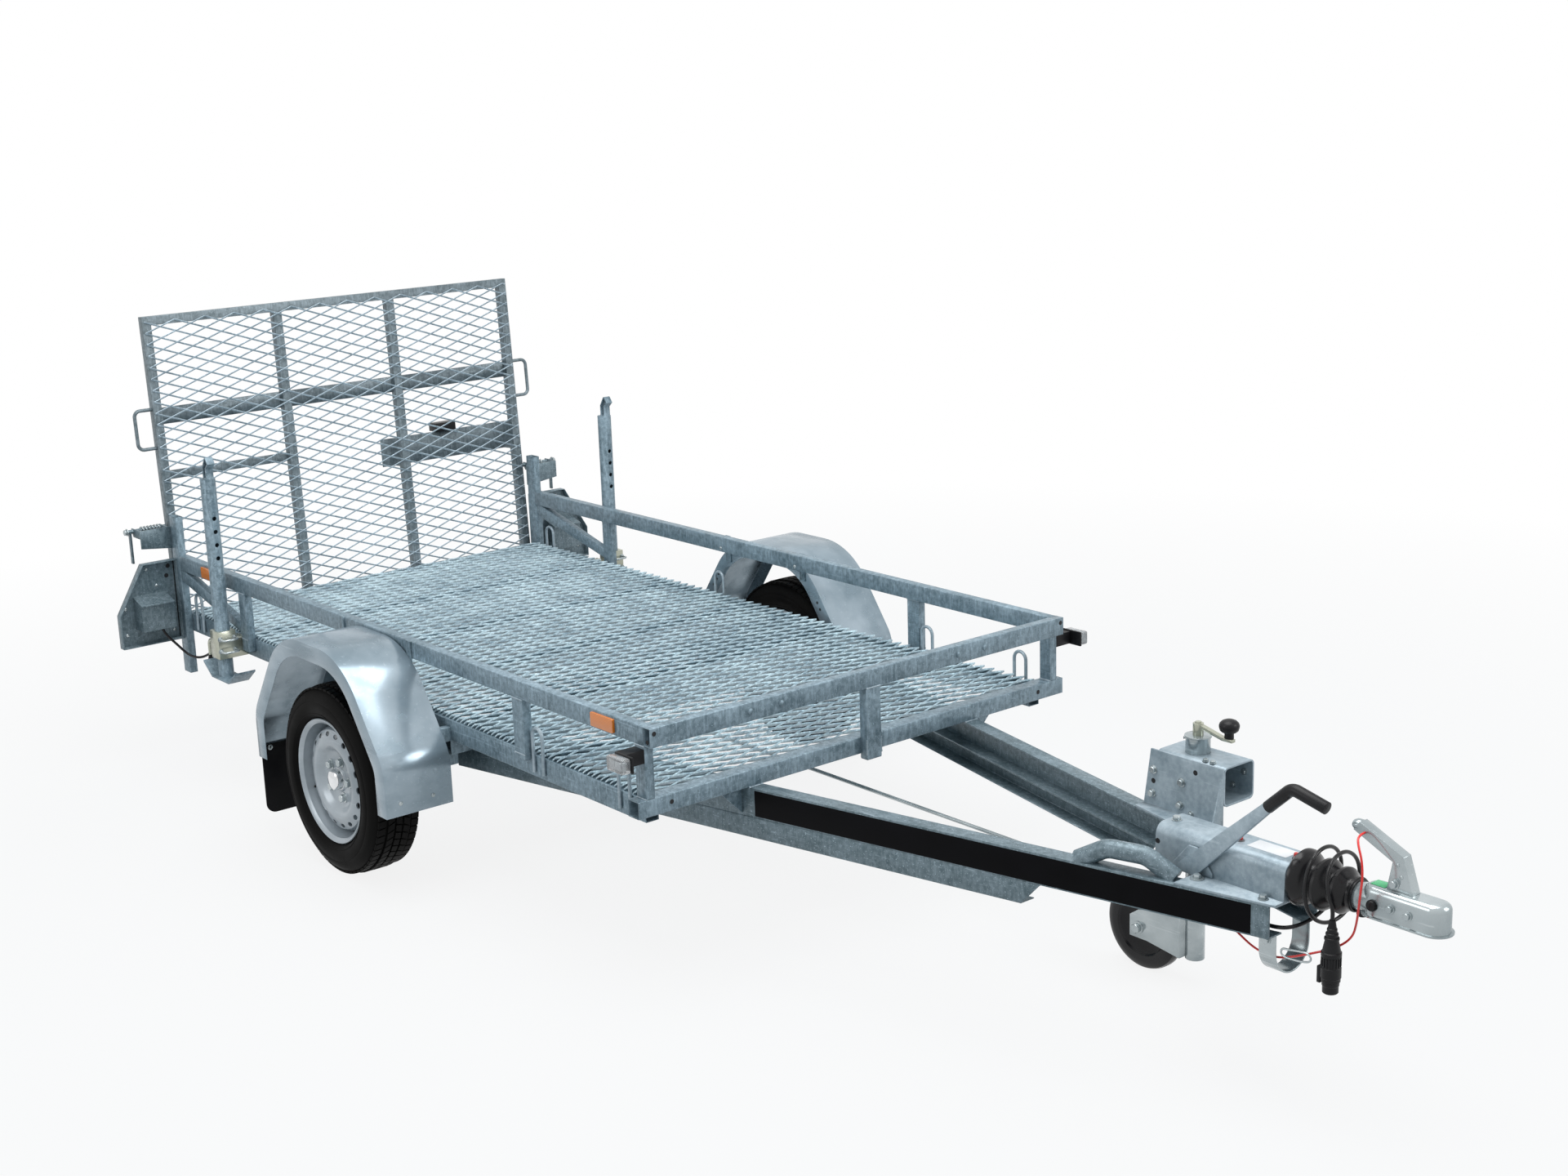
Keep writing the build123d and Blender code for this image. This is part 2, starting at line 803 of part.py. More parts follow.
barrel_radius = rim_radius - tyre_bead
barrel_bore = barrel_radius - rim_wall
wall_slope = (tyre_width / 2 - tyre_bead_half) / (tyre_belly_radius - barrel_radius)
flange_y = tyre_bead_half + tyre_bead * wall_slope
hub_face_y = disc_flat_y - disc_sheet
drum_face_y = hub_face_y - hub_flange
for side, name in ((1, "left"), (-1, "right")):
    centre = Plane(origin=(axle_x, side * wheel_plane_y, axle_z), x_dir=(1, 0, 0), z_dir=(0, 0, 1))
    spin = Axis((axle_x, 0, axle_z), (0, 1, 0))
    with BuildPart() as tyre:
        turn(centre, spin, (
            (barrel_radius, tyre_bead_half),
            (tyre_belly_radius, tyre_width / 2),
            (tyre_radius, tyre_tread_half),
            (tyre_radius, -tyre_tread_half),
            (tyre_belly_radius, -tyre_width / 2),
            (barrel_radius, -tyre_bead_half),
        ))
    save(tyre.part, f"tyre_{name}")

    with BuildPart() as rim:
        turn(centre, spin, (
            (rim_radius, rim_width / 2),
            (rim_radius, flange_y),
            (barrel_radius, tyre_bead_half),
            (barrel_radius, -tyre_bead_half),
            (rim_radius, -flange_y),
            (rim_radius, -rim_width / 2),
            (barrel_bore, -rim_width / 2),
            (barrel_bore, rim_width / 2),
        ))
        # Pressed disc, each row: radius, place of its outer face from the wheel's plane
        disc_rows = (
            (barrel_bore, disc_edge_y),
            (disc_shoulder_radius, disc_shoulder_y),
            (disc_crown_radius, disc_crown_y),
            (disc_flat_radius, disc_flat_y),
            (nose_radius + nose_fit, disc_flat_y),
        )
        face = [(radius, side * y) for radius, y in disc_rows]
        back = [(radius, side * (y - disc_sheet)) for radius, y in reversed(disc_rows)]
        turn(centre, spin, (*face, *back))
        disc_plane = Plane(origin=(axle_x, side * wheel_plane_y, axle_z), x_dir=(1, 0, 0), z_dir=(0, 1, 0))
        with BuildSketch(disc_plane) as slots:
            with PolarLocations(disc_slot_circle, disc_slot_count):
                SlotOverall(disc_slot_length, disc_slot_width, rotation=90)
        extrude(slots.sketch, amount=rim_width / 2, both=True, mode=Mode.SUBTRACT)
    save(rim.part, f"rim_{name}")

    with BuildPart() as hub:
        hub_bore = spindle_radius + bearing_fit
        turn(centre, spin, (
            (0, side * (nose_reach - nose_edge)),
            (0, side * nose_reach),
            (nose_radius - nose_edge, side * nose_reach),
            (nose_radius, side * (nose_reach - nose_edge)),
            (nose_radius, side * hub_face_y),
            (hub_radius, side * hub_face_y),
            (hub_radius, side * drum_face_y),
            (drum_radius, side * drum_face_y),
            (drum_radius, -side * drum_width),
            (drum_radius - rim_wall, -side * drum_width),
            (drum_radius - rim_wall, side * (drum_face_y - rim_wall)),
            (hub_core_radius, side * (drum_face_y - rim_wall)),
            (hub_core_radius, -side * drum_width),
            (hub_bore, -side * drum_width),
            (hub_bore, side * (nose_reach - nose_edge)),
        ))
    save(hub.part, f"hub_{name}")

# Mudguards: pressed sheet over the wheel with a deep flange along both edges


def guard_outline(inset):
    """Face under the mudguard's outer line, its edge moved inwards by inset."""
    low_z = guard_foot_z - guard_flange - overrun
    with BuildSketch(mode=Mode.PRIVATE) as outline:
        with BuildLine():
            crown = FilletPolyline(
                (guard_centre_x + guard_half, low_z),
                (guard_centre_x + guard_half, guard_knee_z),
                (guard_centre_x + guard_crown_half, guard_top_z),
                (guard_centre_x - guard_crown_half, guard_top_z),
                (guard_centre_x - guard_half, guard_knee_z),
                (guard_centre_x - guard_half, low_z),
                radius=(guard_knee_round, guard_crown_round, guard_crown_round, guard_knee_round),
            )
            Line(crown @ 1, crown @ 0)
        make_face()
        if inset:
            offset(amount=-inset, kind=Kind.INTERSECTION)
    return outline.sketch_local


with BuildPart() as mudguards:
    for side in (-1, 1):
        for start, width, depth in (
            (guard_inner_y, guard_width, guard_wall),
            (guard_inner_y, guard_wall, guard_flange),
            (guard_outer_y - guard_wall, guard_wall, guard_flange),
        ):
            with BuildSketch(Plane.XZ.offset(-side * start)) as band:
                add(guard_outline(0))
                add(guard_outline(depth), mode=Mode.SUBTRACT)
                with Locations((guard_centre_x, guard_foot_z)):
                    Rectangle(
                        2 * guard_half + overrun, guard_flange + 2 * overrun,
                        align=(Align.CENTER, Align.MAX), mode=Mode.SUBTRACT,
                    )
            extrude(band.sketch, amount=-side * width)
save(mudguards.part, "mudguards")

# Straps from the rail, and stays from the side members, that carry the mudguards
with BuildPart() as guard_struts:
    for side in (-1, 1):
        for end in (-1, 1):
            with BuildSketch(Plane.XZ.offset(-side * rail_half)) as strut:
                with Locations((guard_centre_x + end * guard_strut_lead, rail_top_z)):
                    Rectangle(
                        guard_strut, rail_height + guard_strut_drop, align=(Align.CENTER, Align.MAX),
                    )
            extrude(strut.sketch, amount=-side * (guard_inner_y - rail_half))
            with BuildSketch(Plane.XZ.offset(-side * deck_half_width)) as stay:
                with Locations((guard_centre_x + end * guard_stay_lead, side_member_foot_z)):
                    Rectangle(guard_strut, guard_strut_drop, align=(Align.CENTER, Align.MIN))
            extrude(stay.sketch, amount=-side * (guard_inner_y - deck_half_width))
save(guard_struts.part, "guard_struts")

with BuildPart() as mud_flaps:
    for side in (-1, 1):
        y = side * (guard_inner_y + guard_outer_y) / 2
        with BuildSketch(Plane.YZ.offset(guard_centre_x - guard_half + guard_wall)) as flap:
            with Locations((y, guard_foot_z + flap_grip)):
                Rectangle(flap_width, flap_height, align=(Align.CENTER, Align.MAX))
            fillet(flap.vertices().group_by(Axis.Y)[0], radius=flap_round)
            chamfer(flap.vertices().group_by(Axis.Y)[-1], length=flap_notch)
        extrude(flap.sketch, amount=flap_thickness)
save(mud_flaps.part, "mud_flaps")

# Ramp, drawn in its own leaning plane: across it runs Y, up it runs away from the hinge
lean = math.radians(ramp_lean)
ramp_normal = (math.cos(lean), 0, math.sin(lean))
ramp_plane = Plane(origin=(hinge_x, 0, hinge_z), x_dir=(0, 1, 0), z_dir=ramp_normal)
ramp_back = ramp_plane.offset(-ramp_bar / 2)
mesh_front = ramp_plane.offset(ramp_bar / 2)
ramp_foot = knuckle_radius + hinge_gap
ramp_middle = (ramp_foot + ramp_height) / 2
ramp_tall = ramp_height - ramp_foot
hinge_axis = Axis((hinge_x, 0, hinge_z), (0, 1, 0))

# Bars of the ramp's frame, each row: centre across, centre up, width, height
ramp_bar_rows = (
    (0, ramp_foot + ramp_bar / 2, 2 * ramp_half_width, ramp_bar),
    (0, ramp_height - ramp_bar / 2, 2 * ramp_half_width, ramp_bar),
    (ramp_bar / 2 - ramp_half_width, ramp_middle, ramp_bar, ramp_tall),
    (ramp_half_width - ramp_bar / 2, ramp_middle, ramp_bar, ramp_tall),
    (-ramp_upright_y, ramp_middle, ramp_bar, ramp_tall),
    (ramp_upright_y, ramp_middle, ramp_bar, ramp_tall),
)
with BuildPart() as ramp_frame:
    with BuildSketch(ramp_back) as grid:
        for across, rise, width, height in ramp_bar_rows:
            with Locations((across, rise)):
                Rectangle(width, height)
    extrude(grid.sketch, amount=ramp_bar)
    for side in (-1, 1):
        knuckle_middle = Plane.XZ.offset(-side * hinge_y - knuckle_length / 2)
        with BuildSketch(knuckle_middle) as knuckle:
            with Locations((hinge_x, hinge_z)):
                Circle(knuckle_radius)
            with Locations(Location((hinge_x, hinge_z), ramp_lean)):
                Rectangle(knuckle_radius, ramp_foot + hinge_gap, align=(Align.CENTER, Align.MIN))
        extrude(knuckle.sketch, amount=knuckle_length)
        with BuildSketch(knuckle_middle) as bore:
            with Locations((hinge_x, hinge_z)):
                Circle(hinge_pin_radius + hinge_fit)
        extrude(bore.sketch, amount=knuckle_length, mode=Mode.SUBTRACT)
    # Cross plate and short bar, flush with the frame's back
    bay_outer = ramp_half_width - ramp_bar
    bay_inner = ramp_upright_y + ramp_bar / 2
    with BuildSketch(ramp_back) as plates:
        with Locations((0, (ramp_plate_low + ramp_plate_high) / 2)):
            Rectangle(2 * bay_outer, ramp_plate_high - ramp_plate_low)
        with Locations((-(bay_outer + bay_inner) / 2, ramp_low_bar)):
            Rectangle(bay_outer - bay_inner, ramp_bar)
    extrude(plates.sketch, amount=ramp_plate_thickness)
save(ramp_frame.part, "ramp_frame")

# Ramp mesh: two slotted sheets face to face, their strands crossing into diamonds
mesh_half = ramp_half_width - mesh_strand
mesh_run = ramp_tall * mesh_pitch_long / mesh_pitch_short
mesh_gap = mesh_pitch_long - mesh_strand * mesh_pitch_long / mesh_pitch_short
mesh_count = int((2 * mesh_half + mesh_run) / mesh_pitch_long) + 2
with BuildPart() as ramp_mesh:
    for layer, slope in ((0, 1), (1, -1)):
        with BuildSketch(mesh_front.offset(layer * (mesh_thickness + mesh_layer_gap))) as sheet:
            with Locations((0, ramp_middle)):
                Rectangle(2 * mesh_half, ramp_tall)
            slots = []
            for place in range(mesh_count):
                start = place * mesh_pitch_long - mesh_half - mesh_run
                if start + mesh_run + mesh_gap < mesh_border - mesh_half or start > mesh_half - mesh_border:
                    continue
                low, high = (start, start + mesh_run) if slope > 0 else (start + mesh_run, start)
                with BuildSketch(mode=Mode.PRIVATE) as slot:
                    with BuildLine():
                        Polyline(
                            (low, ramp_foot), (low + mesh_gap, ramp_foot),
                            (high + mesh_gap, ramp_height), (high, ramp_height), close=True,
                        )
                    make_face()
                    with Locations((0, ramp_middle)):
                        Rectangle(
                            2 * (mesh_half - mesh_border), ramp_tall - 2 * mesh_border,
                            mode=Mode.INTERSECT,
                        )
                slots.extend(slot.sketch_local.faces())
            add(slots, mode=Mode.SUBTRACT)
        extrude(sheet.sketch, amount=mesh_thickness)
save(ramp_mesh.part, "ramp_mesh")

# D-handles bent from round bar on the ramp's edges
with BuildPart() as ramp_handles:
    for side in (-1, 1):
        with BuildLine(ramp_plane) as bend:
            FilletPolyline(
                (side * ramp_half_width, handle_rise - handle_span / 2),
                (side * (ramp_half_width + handle_reach), handle_rise - handle_span / 2),
                (side * (ramp_half_width + handle_reach), handle_rise + handle_span / 2),
                (side * ramp_half_width, handle_rise + handle_span / 2),
                radius=handle_bend,
            )
        start = ramp_plane.from_local_coords((side * ramp_half_width, handle_rise - handle_span / 2, 0))
        with BuildSketch(Plane(origin=start, x_dir=(0, 0, 1), z_dir=(0, side, 0))) as bar:
            Circle(handle_bar_radius)
        sweep(bar.sketch, path=bend.line)
save(ramp_handles.part, "ramp_handles")

# Number plate holder with its lamp, behind the ramp's left half
with BuildPart() as plate_holder:
    holder_back = ramp_back.offset(-holder_standoff)
    with BuildSketch(holder_back.offset(-holder_thickness)) as board:
        with Locations(((holder_inner_y + holder_outer_y) / 2, (holder_low + holder_high) / 2)):
            Rectangle(holder_outer_y - holder_inner_y, holder_high - holder_low)
    extrude(board.sketch, amount=holder_thickness)
    with BuildSketch(holder_back) as spacer:
        for across in (ramp_upright_y, ramp_half_width - ramp_bar / 2):
            with Locations((across, (holder_low + holder_high) / 2)):
                Rectangle(ramp_bar, holder_high - holder_low)
    extrude(spacer.sketch, amount=holder_standoff)
save(plate_holder.part, "plate_holder")

with BuildPart() as plate_lamp:
    with BuildSketch(holder_back.offset(-holder_thickness - plate_lamp_depth)) as lamp:
        with Locations(((holder_inner_y + holder_outer_y) / 2, holder_high + plate_lamp_height / 2)):
            Rectangle(plate_lamp_width, plate_lamp_height)
    extrude(lamp.sketch, amount=plate_lamp_depth + holder_thickness + holder_standoff / 2)
save(plate_lamp.part, "plate_lamp")

# Hinge lugs on the rear sill with the pins that pass through the ramp's knuckles
lug_front_x = rear_sill_x - rear_sill_depth / 2
with BuildPart() as hinge_lugs:
    for side in (-1, 1):
        for inner in (
            side * hinge_y - knuckle_length / 2 - hinge_side_gap - hinge_lug_thickness,
            side * hinge_y + knuckle_length / 2 + hinge_side_gap,
        ):
            with BuildSketch(Plane.XZ.offset(-inner)) as lug:
                with Locations((hinge_x, hinge_z)):
                    Circle(knuckle_radius)
                with BuildLine():
                    Polyline(
                        (hinge_x, hinge_z - knuckle_radius),
                        (lug_front_x, hinge_z - knuckle_radius),
                        (lug_front_x, side_member_foot_z + knuckle_radius),
                        (hinge_x + knuckle_radius + hinge_gap, hinge_z + knuckle_radius),
                        (hinge_x, hinge_z + knuckle_radius),
                        close=True,
                    )
                make_face()
            extrude(lug.sketch, amount=-hinge_lug_thickness)
        pin_length = knuckle_length + 2 * (hinge_side_gap + hinge_lug_thickness)
        with BuildSketch(Plane.XZ.offset(-side * hinge_y - pin_length / 2)) as pin:
            with Locations((hinge_x, hinge_z)):
                Circle(hinge_pin_radius)
        extrude(pin.sketch, amount=pin_length)
save(hinge_lugs.part, "hinge_lugs")

# Spring latches on the latch posts, each bolt stopping short of the ramp's edge
latch_bolt_x = hinge_x - (latch_z - hinge_z) * math.tan(lean)
latch_back_x = latch_post_x - latch_post_depth / 2
latch_outer_y = rail_half + latch_reach
latch_ear_rear_x = latch_bolt_x - latch_ear_margin
with BuildPart() as ramp_latches:
    for side in (-1, 1):
        with BuildSketch(Plane.YZ.offset(latch_back_x - latch_sheet)) as plate:
            with BuildLine():
                edge = Polyline(
                    (side * deck_half_width, latch_root_z),
                    (side * deck_half_width, latch_top_z),
                    (side * latch_outer_y, latch_top_z),
                    (side * latch_outer_y, latch_low_z),
                    (side * rail_half, latch_root_z),
                    close=True,
                )
            make_face()
        extrude(plate.sketch, amount=latch_sheet)
        # Ears that guide the bolt
        for ear_y in (rail_half + latch_sheet, latch_outer_y - latch_sheet):
            with BuildSketch(Plane.XZ.offset(-side * ear_y)) as ear:
                with BuildLine():
                    Polyline(
                        (latch_back_x - latch_sheet, latch_top_z - latch_ear_height),
                        (latch_bolt_x, latch_top_z - latch_ear_height),
                        (latch_ear_rear_x, latch_z),
                        (latch_ear_rear_x, latch_top_z),
                        (latch_back_x - latch_sheet, latch_top_z),
                        close=True,
                    )
                make_face()
            extrude(ear.sketch, amount=-side * latch_sheet)
        bolt_length = latch_outer_y + latch_bolt_tail - ramp_half_width - hinge_gap
        with BuildSketch(Plane.XZ.offset(-side * (ramp_half_width + hinge_gap))) as bolt:
            with Locations((latch_bolt_x, latch_z)):
                Circle(latch_bolt_radius)
        extrude(bolt.sketch, amount=-side * bolt_length)
        # Pull lever that hangs from the bolt's tail
        with BuildSketch(Plane.XZ.offset(-side * (latch_outer_y + latch_sheet * 2))) as lever:
            with Locations((latch_bolt_x, latch_z)):
                Rectangle(
                    latch_lever_width, latch_z - latch_lever_foot_z, align=(Align.CENTER, Align.MAX),
                )
                Circle(latch_lever_width / 2)
        extrude(lever.sketch, amount=-side * latch_lever_thickness)
save(ramp_latches.part, "ramp_latches")

# Prop stands: round tube with a saddle foot and a strap hook, sliding in a clamp beside the rear post
stand_rows = ((1, "left"), (-1, "right"))
foot_top_z = stand_foot_z + stand_foot_thickness
foot_half = stand_foot_length / 2
foot_flat_half = stand_foot_flat / 2
for side, name in stand_rows:
    with BuildPart() as prop_stand:
        with BuildSketch(Plane.XY.offset(foot_top_z)) as tube:
            with Locations((stand_x, side * stand_y)):
                Circle(stand_radius)
                Circle(stand_radius - stand_wall, mode=Mode.SUBTRACT)
        extrude(tube.sketch, amount=stand_top_z - stand_wall - foot_top_z)
        with BuildSketch(Plane.XY.offset(stand_top_z - stand_wall)) as cap:
            with Locations((stand_x, side * stand_y)):
                Circle(stand_radius)
        extrude(cap.sketch, amount=stand_wall)
        # Pin holes through the front and back of the tube
        with BuildSketch(Plane.YZ.offset(stand_x)) as holes:
            for place in range(stand_hole_count):
                with Locations((side * stand_y, stand_top_z - stand_hole_drop - place * stand_hole_pitch)):
                    Circle(stand_hole_radius)
        extrude(holes.sketch, amount=stand_radius + overrun, both=True, mode=Mode.SUBTRACT)
        # Foot plate with its ends turned up
        with BuildSketch(Plane.XZ.offset(-side * stand_y - stand_foot_width / 2)) as foot:
            with BuildLine():
                top = [
                    (stand_x + stand_foot_lead - foot_half, foot_top_z + stand_foot_rise),
                    (stand_x + stand_foot_lead - foot_flat_half, foot_top_z),
                    (stand_x + stand_foot_lead + foot_flat_half, foot_top_z),
                    (stand_x + stand_foot_lead + foot_half, foot_top_z + stand_foot_rise),
                ]
                under = [(x, z - stand_foot_thickness) for x, z in reversed(top)]
                Polyline(*top, *under, close=True)
            make_face()
        extrude(foot.sketch, amount=stand_foot_width)
        # Strap bent into a closed hook on the cap
        with BuildSketch(Plane.XZ.offset(-side * stand_y - hook_strap / 2)) as hook:
            with BuildLine():
                Polyline(
                    (stand_x - hook_sheet, stand_top_z),
                    (stand_x + stand_radius - hook_sheet, stand_top_z),
                    (stand_x + stand_radius - hook_sheet, stand_top_z + hook_lead),
                    (stand_x + hook_lead + hook_sheet, stand_top_z + hook_height - stand_radius),
                    (stand_x + stand_radius - hook_sheet, stand_top_z + hook_height),
                    (stand_x - hook_sheet, stand_top_z + hook_lead + hook_sheet),
                    close=True,
                )
            make_face()
            fillet(hook.vertices().group_by(Axis.Y)[-1], radius=hook_round)
            offset(amount=-hook_sheet, mode=Mode.SUBTRACT)
        extrude(hook.sketch, amount=hook_strap)
    save(prop_stand.part, f"prop_stand_{name}")

with BuildPart() as stand_clamps:
    clamp_inner_y = stand_y - clamp_side / 2
    for side in (-1, 1):
        with BuildSketch(Plane.XY.offset(clamp_low_z)) as clamp:
            with Locations((stand_x, side * stand_y)):
                Rectangle(clamp_side, clamp_side)
                Circle(stand_radius + stand_clearance, mode=Mode.SUBTRACT)
        extrude(clamp.sketch, amount=clamp_high_z - clamp_low_z)
        # Cleat from the clamp's inner face to the side member
        with BuildSketch(Plane.XY.offset(clamp_low_z)) as cleat:
            with Locations((stand_x, side * (clamp_inner_y + deck_half_width) / 2)):
                Rectangle(clamp_side, clamp_inner_y - deck_half_width)
        extrude(cleat.sketch, amount=deck_frame_top_z - clamp_low_z)
        # Clamp screw with its bent handle
        screw_start_x = stand_x - clamp_side / 2
        with BuildLine() as bend:
            FilletPolyline(
                (screw_start_x, side * stand_y, clamp_screw_z),
                (stand_x - clamp_screw_reach, side * stand_y, clamp_screw_z),
                (stand_x - clamp_screw_reach, side * stand_y, clamp_screw_z - clamp_screw_drop),
                radius=clamp_screw_bend,
            )
        with BuildSketch(Plane(origin=bend.line @ 0, z_dir=bend.line % 0)) as section:
            Circle(clamp_screw_radius)
        sweep(section.sketch, path=bend.line)
save(stand_clamps.part, "stand_clamps")

# Lashing rings: bent bar welded to the side members' outer faces
ring_rows = (
    front_x - ring_front_setback,
    front_x - ring_wheel_setback,
    latch_post_x + ring_guard_lead,
    latch_post_x + ring_rear_lead,
)
ring_top = deck_frame_top_z + ring_rise
with BuildPart() as lashing_rings:
    for x in ring_rows:
        for side in (-1, 1):
            y = side * (deck_half_width + ring_bar_radius)
            with BuildLine(Plane.XZ.offset(-y)) as bend:
                legs = Line((x - ring_half_width, ring_foot_z), (x - ring_half_width, ring_top - ring_half_width))
                crown = ThreePointArc(
                    legs @ 1, (x, ring_top), (x + ring_half_width, ring_top - ring_half_width)
                )
                Line(crown @ 1, (x + ring_half_width, ring_foot_z))
            with BuildSketch(Plane(origin=(x - ring_half_width, y, ring_foot_z), z_dir=(0, 0, 1))) as bar:
                RegularPolygon(
                    ring_bar_radius, ring_bar_sides, major_radius=False, rotation=180 / ring_bar_sides,
                )
            sweep(bar.sketch, path=bend.line)
save(lashing_rings.part, "lashing_rings")

# Light boards on the backs of the latch posts, with the boxes that cover the lamps
board_x = latch_post_x - latch_post_depth / 2
board_outer_y = rail_half + board_width
with BuildPart() as light_boards:
    for side in (-1, 1):
        for plane_x, inner_y, depth in (
            (board_x - board_sheet, deck_half_width, board_sheet),
            (board_x, rail_half, board_flange),
        ):
            with BuildSketch(Plane.YZ.offset(plane_x)) as board:
                with BuildLine():
                    Polyline(
                        (side * inner_y, board_foot_z),
                        (side * board_outer_y, board_foot_z),
                        (side * board_outer_y, board_knee_z),
                        (side * (rail_half + board_shoulder), board_top_z),
                        (side * inner_y, board_top_z),
                        close=True,
                    )
                make_face()
                # The folded edge is a hollow band
                if depth > board_sheet:
                    offset(amount=-board_sheet, kind=Kind.INTERSECTION, mode=Mode.SUBTRACT)
            extrude(board.sketch, amount=depth)
        with BuildSketch(Plane.XZ.offset(-side * lamp_box_y - lamp_box_width / 2)) as box:
            low_z = lamp_box_z - lamp_box_height / 2
            high_z = lamp_box_z + lamp_box_height / 2
            with BuildLine():
                Polyline(
                    (board_x, low_z),
                    (board_x + lamp_box_depth, low_z),
                    (board_x + lamp_box_depth, high_z - lamp_lid_fall - lamp_lid_edge),
                    (board_x + lamp_box_depth + lamp_lid_lip, high_z - lamp_lid_fall - lamp_lid_edge),
                    (board_x + lamp_box_depth + lamp_lid_lip, high_z - lamp_lid_fall),
                    (board_x, high_z),
                    close=True,
                )
            make_face()
        extrude(box.sketch, amount=lamp_box_width)
save(light_boards.part, "light_boards")

with BuildPart() as tail_lamps:
    for side in (-1, 1):
        with BuildSketch(Plane.YZ.offset(board_x - board_sheet - tail_lamp_depth)) as lens:
            with Locations((side * lamp_box_y, lamp_box_z)):
                RectangleRounded(lamp_box_width - tail_lamp_inset, lamp_box_height - tail_lamp_inset, tail_lamp_inset)
        extrude(lens.sketch, amount=tail_lamp_depth)
save(tail_lamps.part, "tail_lamps")

# Front lamps on arms from the corner posts
with BuildPart() as lamp_arms:
    for side in (-1, 1):
        with BuildSketch(Plane.XZ.offset(-side * rail_half)) as arm:
            with Locations((sill_front_x - corner_post_depth / 2, front_lamp_z)):
                Rectangle(corner_post_depth, lamp_arm_height)
        extrude(arm.sketch, amount=-side * (front_lamp_y - front_lamp_width / 2 - rail_half))
save(lamp_arms.part, "lamp_arms")

with BuildPart() as front_lamps:
    for side in (-1, 1):
        with BuildSketch(Plane.XZ.offset(-side * (front_lamp_y - front_lamp_width / 2))) as lamp:
            with Locations((sill_front_x - corner_post_depth / 2 + front_lamp_forward, front_lamp_z)):
                RectangleRounded(front_lamp_depth, front_lamp_height, front_lamp_round)
        extrude(lamp.sketch, amount=-side * front_lamp_width)
save(front_lamps.part, "front_lamps")

reflector_rows = (front_x - reflector_front_setback, latch_post_x + reflector_rear_lead)
with BuildPart() as side_reflectors:
    for x in reflector_rows:
        for side in (-1, 1):
            with BuildSketch(Plane.XZ.offset(-side * rail_half)) as lens:
                with Locations((x, rail_top_z - rail_height / 2)):
                    RectangleRounded(reflector_length, reflector_height, reflector_round)
            extrude(lens.sketch, amount=-side * reflector_depth)
save(side_reflectors.part, "side_reflectors")

# Gussets under the front sill, beside each beam
with BuildPart() as sill_gussets:
    for side in (-1, 1):
        edge_y = side * beam_outer_y(sill_rear_x + sill_size / 2 - gusset_thickness)
        with BuildSketch(Plane.YZ.offset(sill_rear_x + sill_size / 2)) as gusset:
            with BuildLine():
                Polyline(
                    (edge_y, beam_top_z),
                    (edge_y + side * gusset_size, beam_top_z),
                    (edge_y, beam_top_z - gusset_size),
                    close=True,
                )
            make_face()
        extrude(gusset.sketch, amount=-gusset_thickness)
save(sill_gussets.part, "sill_gussets")

# Overrun housing with rounded shoulders, on its base plate
housing_foot_z = beam_top_z + base_plate
with BuildPart() as overrun_housing:
    flange_rear_x = front_x + housing_flange_reach
    with BuildSketch(Plane.XY.offset(beam_top_z)) as base:
        with BuildLine():
            Polyline(
                (flange_rear_x, -beam_outer_y(flange_rear_x)),
                (housing_front_x, -beam_nose_y),
                (housing_front_x, beam_nose_y),
                (flange_rear_x, beam_outer_y(flange_rear_x)),
                close=True,
            )
        make_face()
    extrude(base.sketch, amount=base_plate)
    with BuildSketch(Plane.YZ.offset(housing_rear_x)) as shell:
        with BuildLine():
            Polyline(
                (-housing_foot_half, housing_foot_z),
                (housing_foot_half, housing_foot_z),
                (housing_top_half, housing_top_z),
                (-housing_top_half, housing_top_z),
                close=True,
            )
        make_face()
        fillet(shell.vertices().group_by(Axis.Y)[-1], radius=housing_round)
        with Locations((0, shaft_z)):
            Circle(shaft_radius + shaft_clearance, mode=Mode.SUBTRACT)
    extrude(shell.sketch, amount=housing_front_x - housing_rear_x)
save(overrun_housing.part, "overrun_housing")

with BuildPart() as coupling_shaft:
    with BuildSketch(Plane.YZ.offset(housing_rear_x)) as shaft:
        with Locations((0, shaft_z)):
            Circle(shaft_radius)
            Circle(shaft_radius - shaft_wall, mode=Mode.SUBTRACT)
    extrude(shaft.sketch, amount=head_rear_x + head_socket - housing_rear_x)
save(coupling_shaft.part, "coupling_shaft")

# Bellows: folded rubber sleeve whose crests lean forward and get smaller
fold_pitch = (head_rear_x - housing_front_x) / bellows_folds
with BuildPart() as bellows:
    with BuildSketch(Plane.XZ) as sleeve:
        with BuildLine():
            folds = []
            for fold in range(bellows_folds):
                start = housing_front_x + fold_pitch * fold
                crest = bellows_rear_radius - bellows_taper * fold
                folds.append((start, shaft_z + bellows_valley))
                folds.append((start + fold_pitch * bellows_crest_share, shaft_z + crest))
            folds.append((head_rear_x, shaft_z + bellows_valley))
            inner = shaft_z + shaft_radius + bellows_clearance
            Polyline(*folds, (head_rear_x, inner), (housing_front_x, inner), close=True)
        make_face()
    revolve(sleeve.sketch, axis=Axis((0, 0, shaft_z), (1, 0, 0)))
save(bellows.part, "bellows")

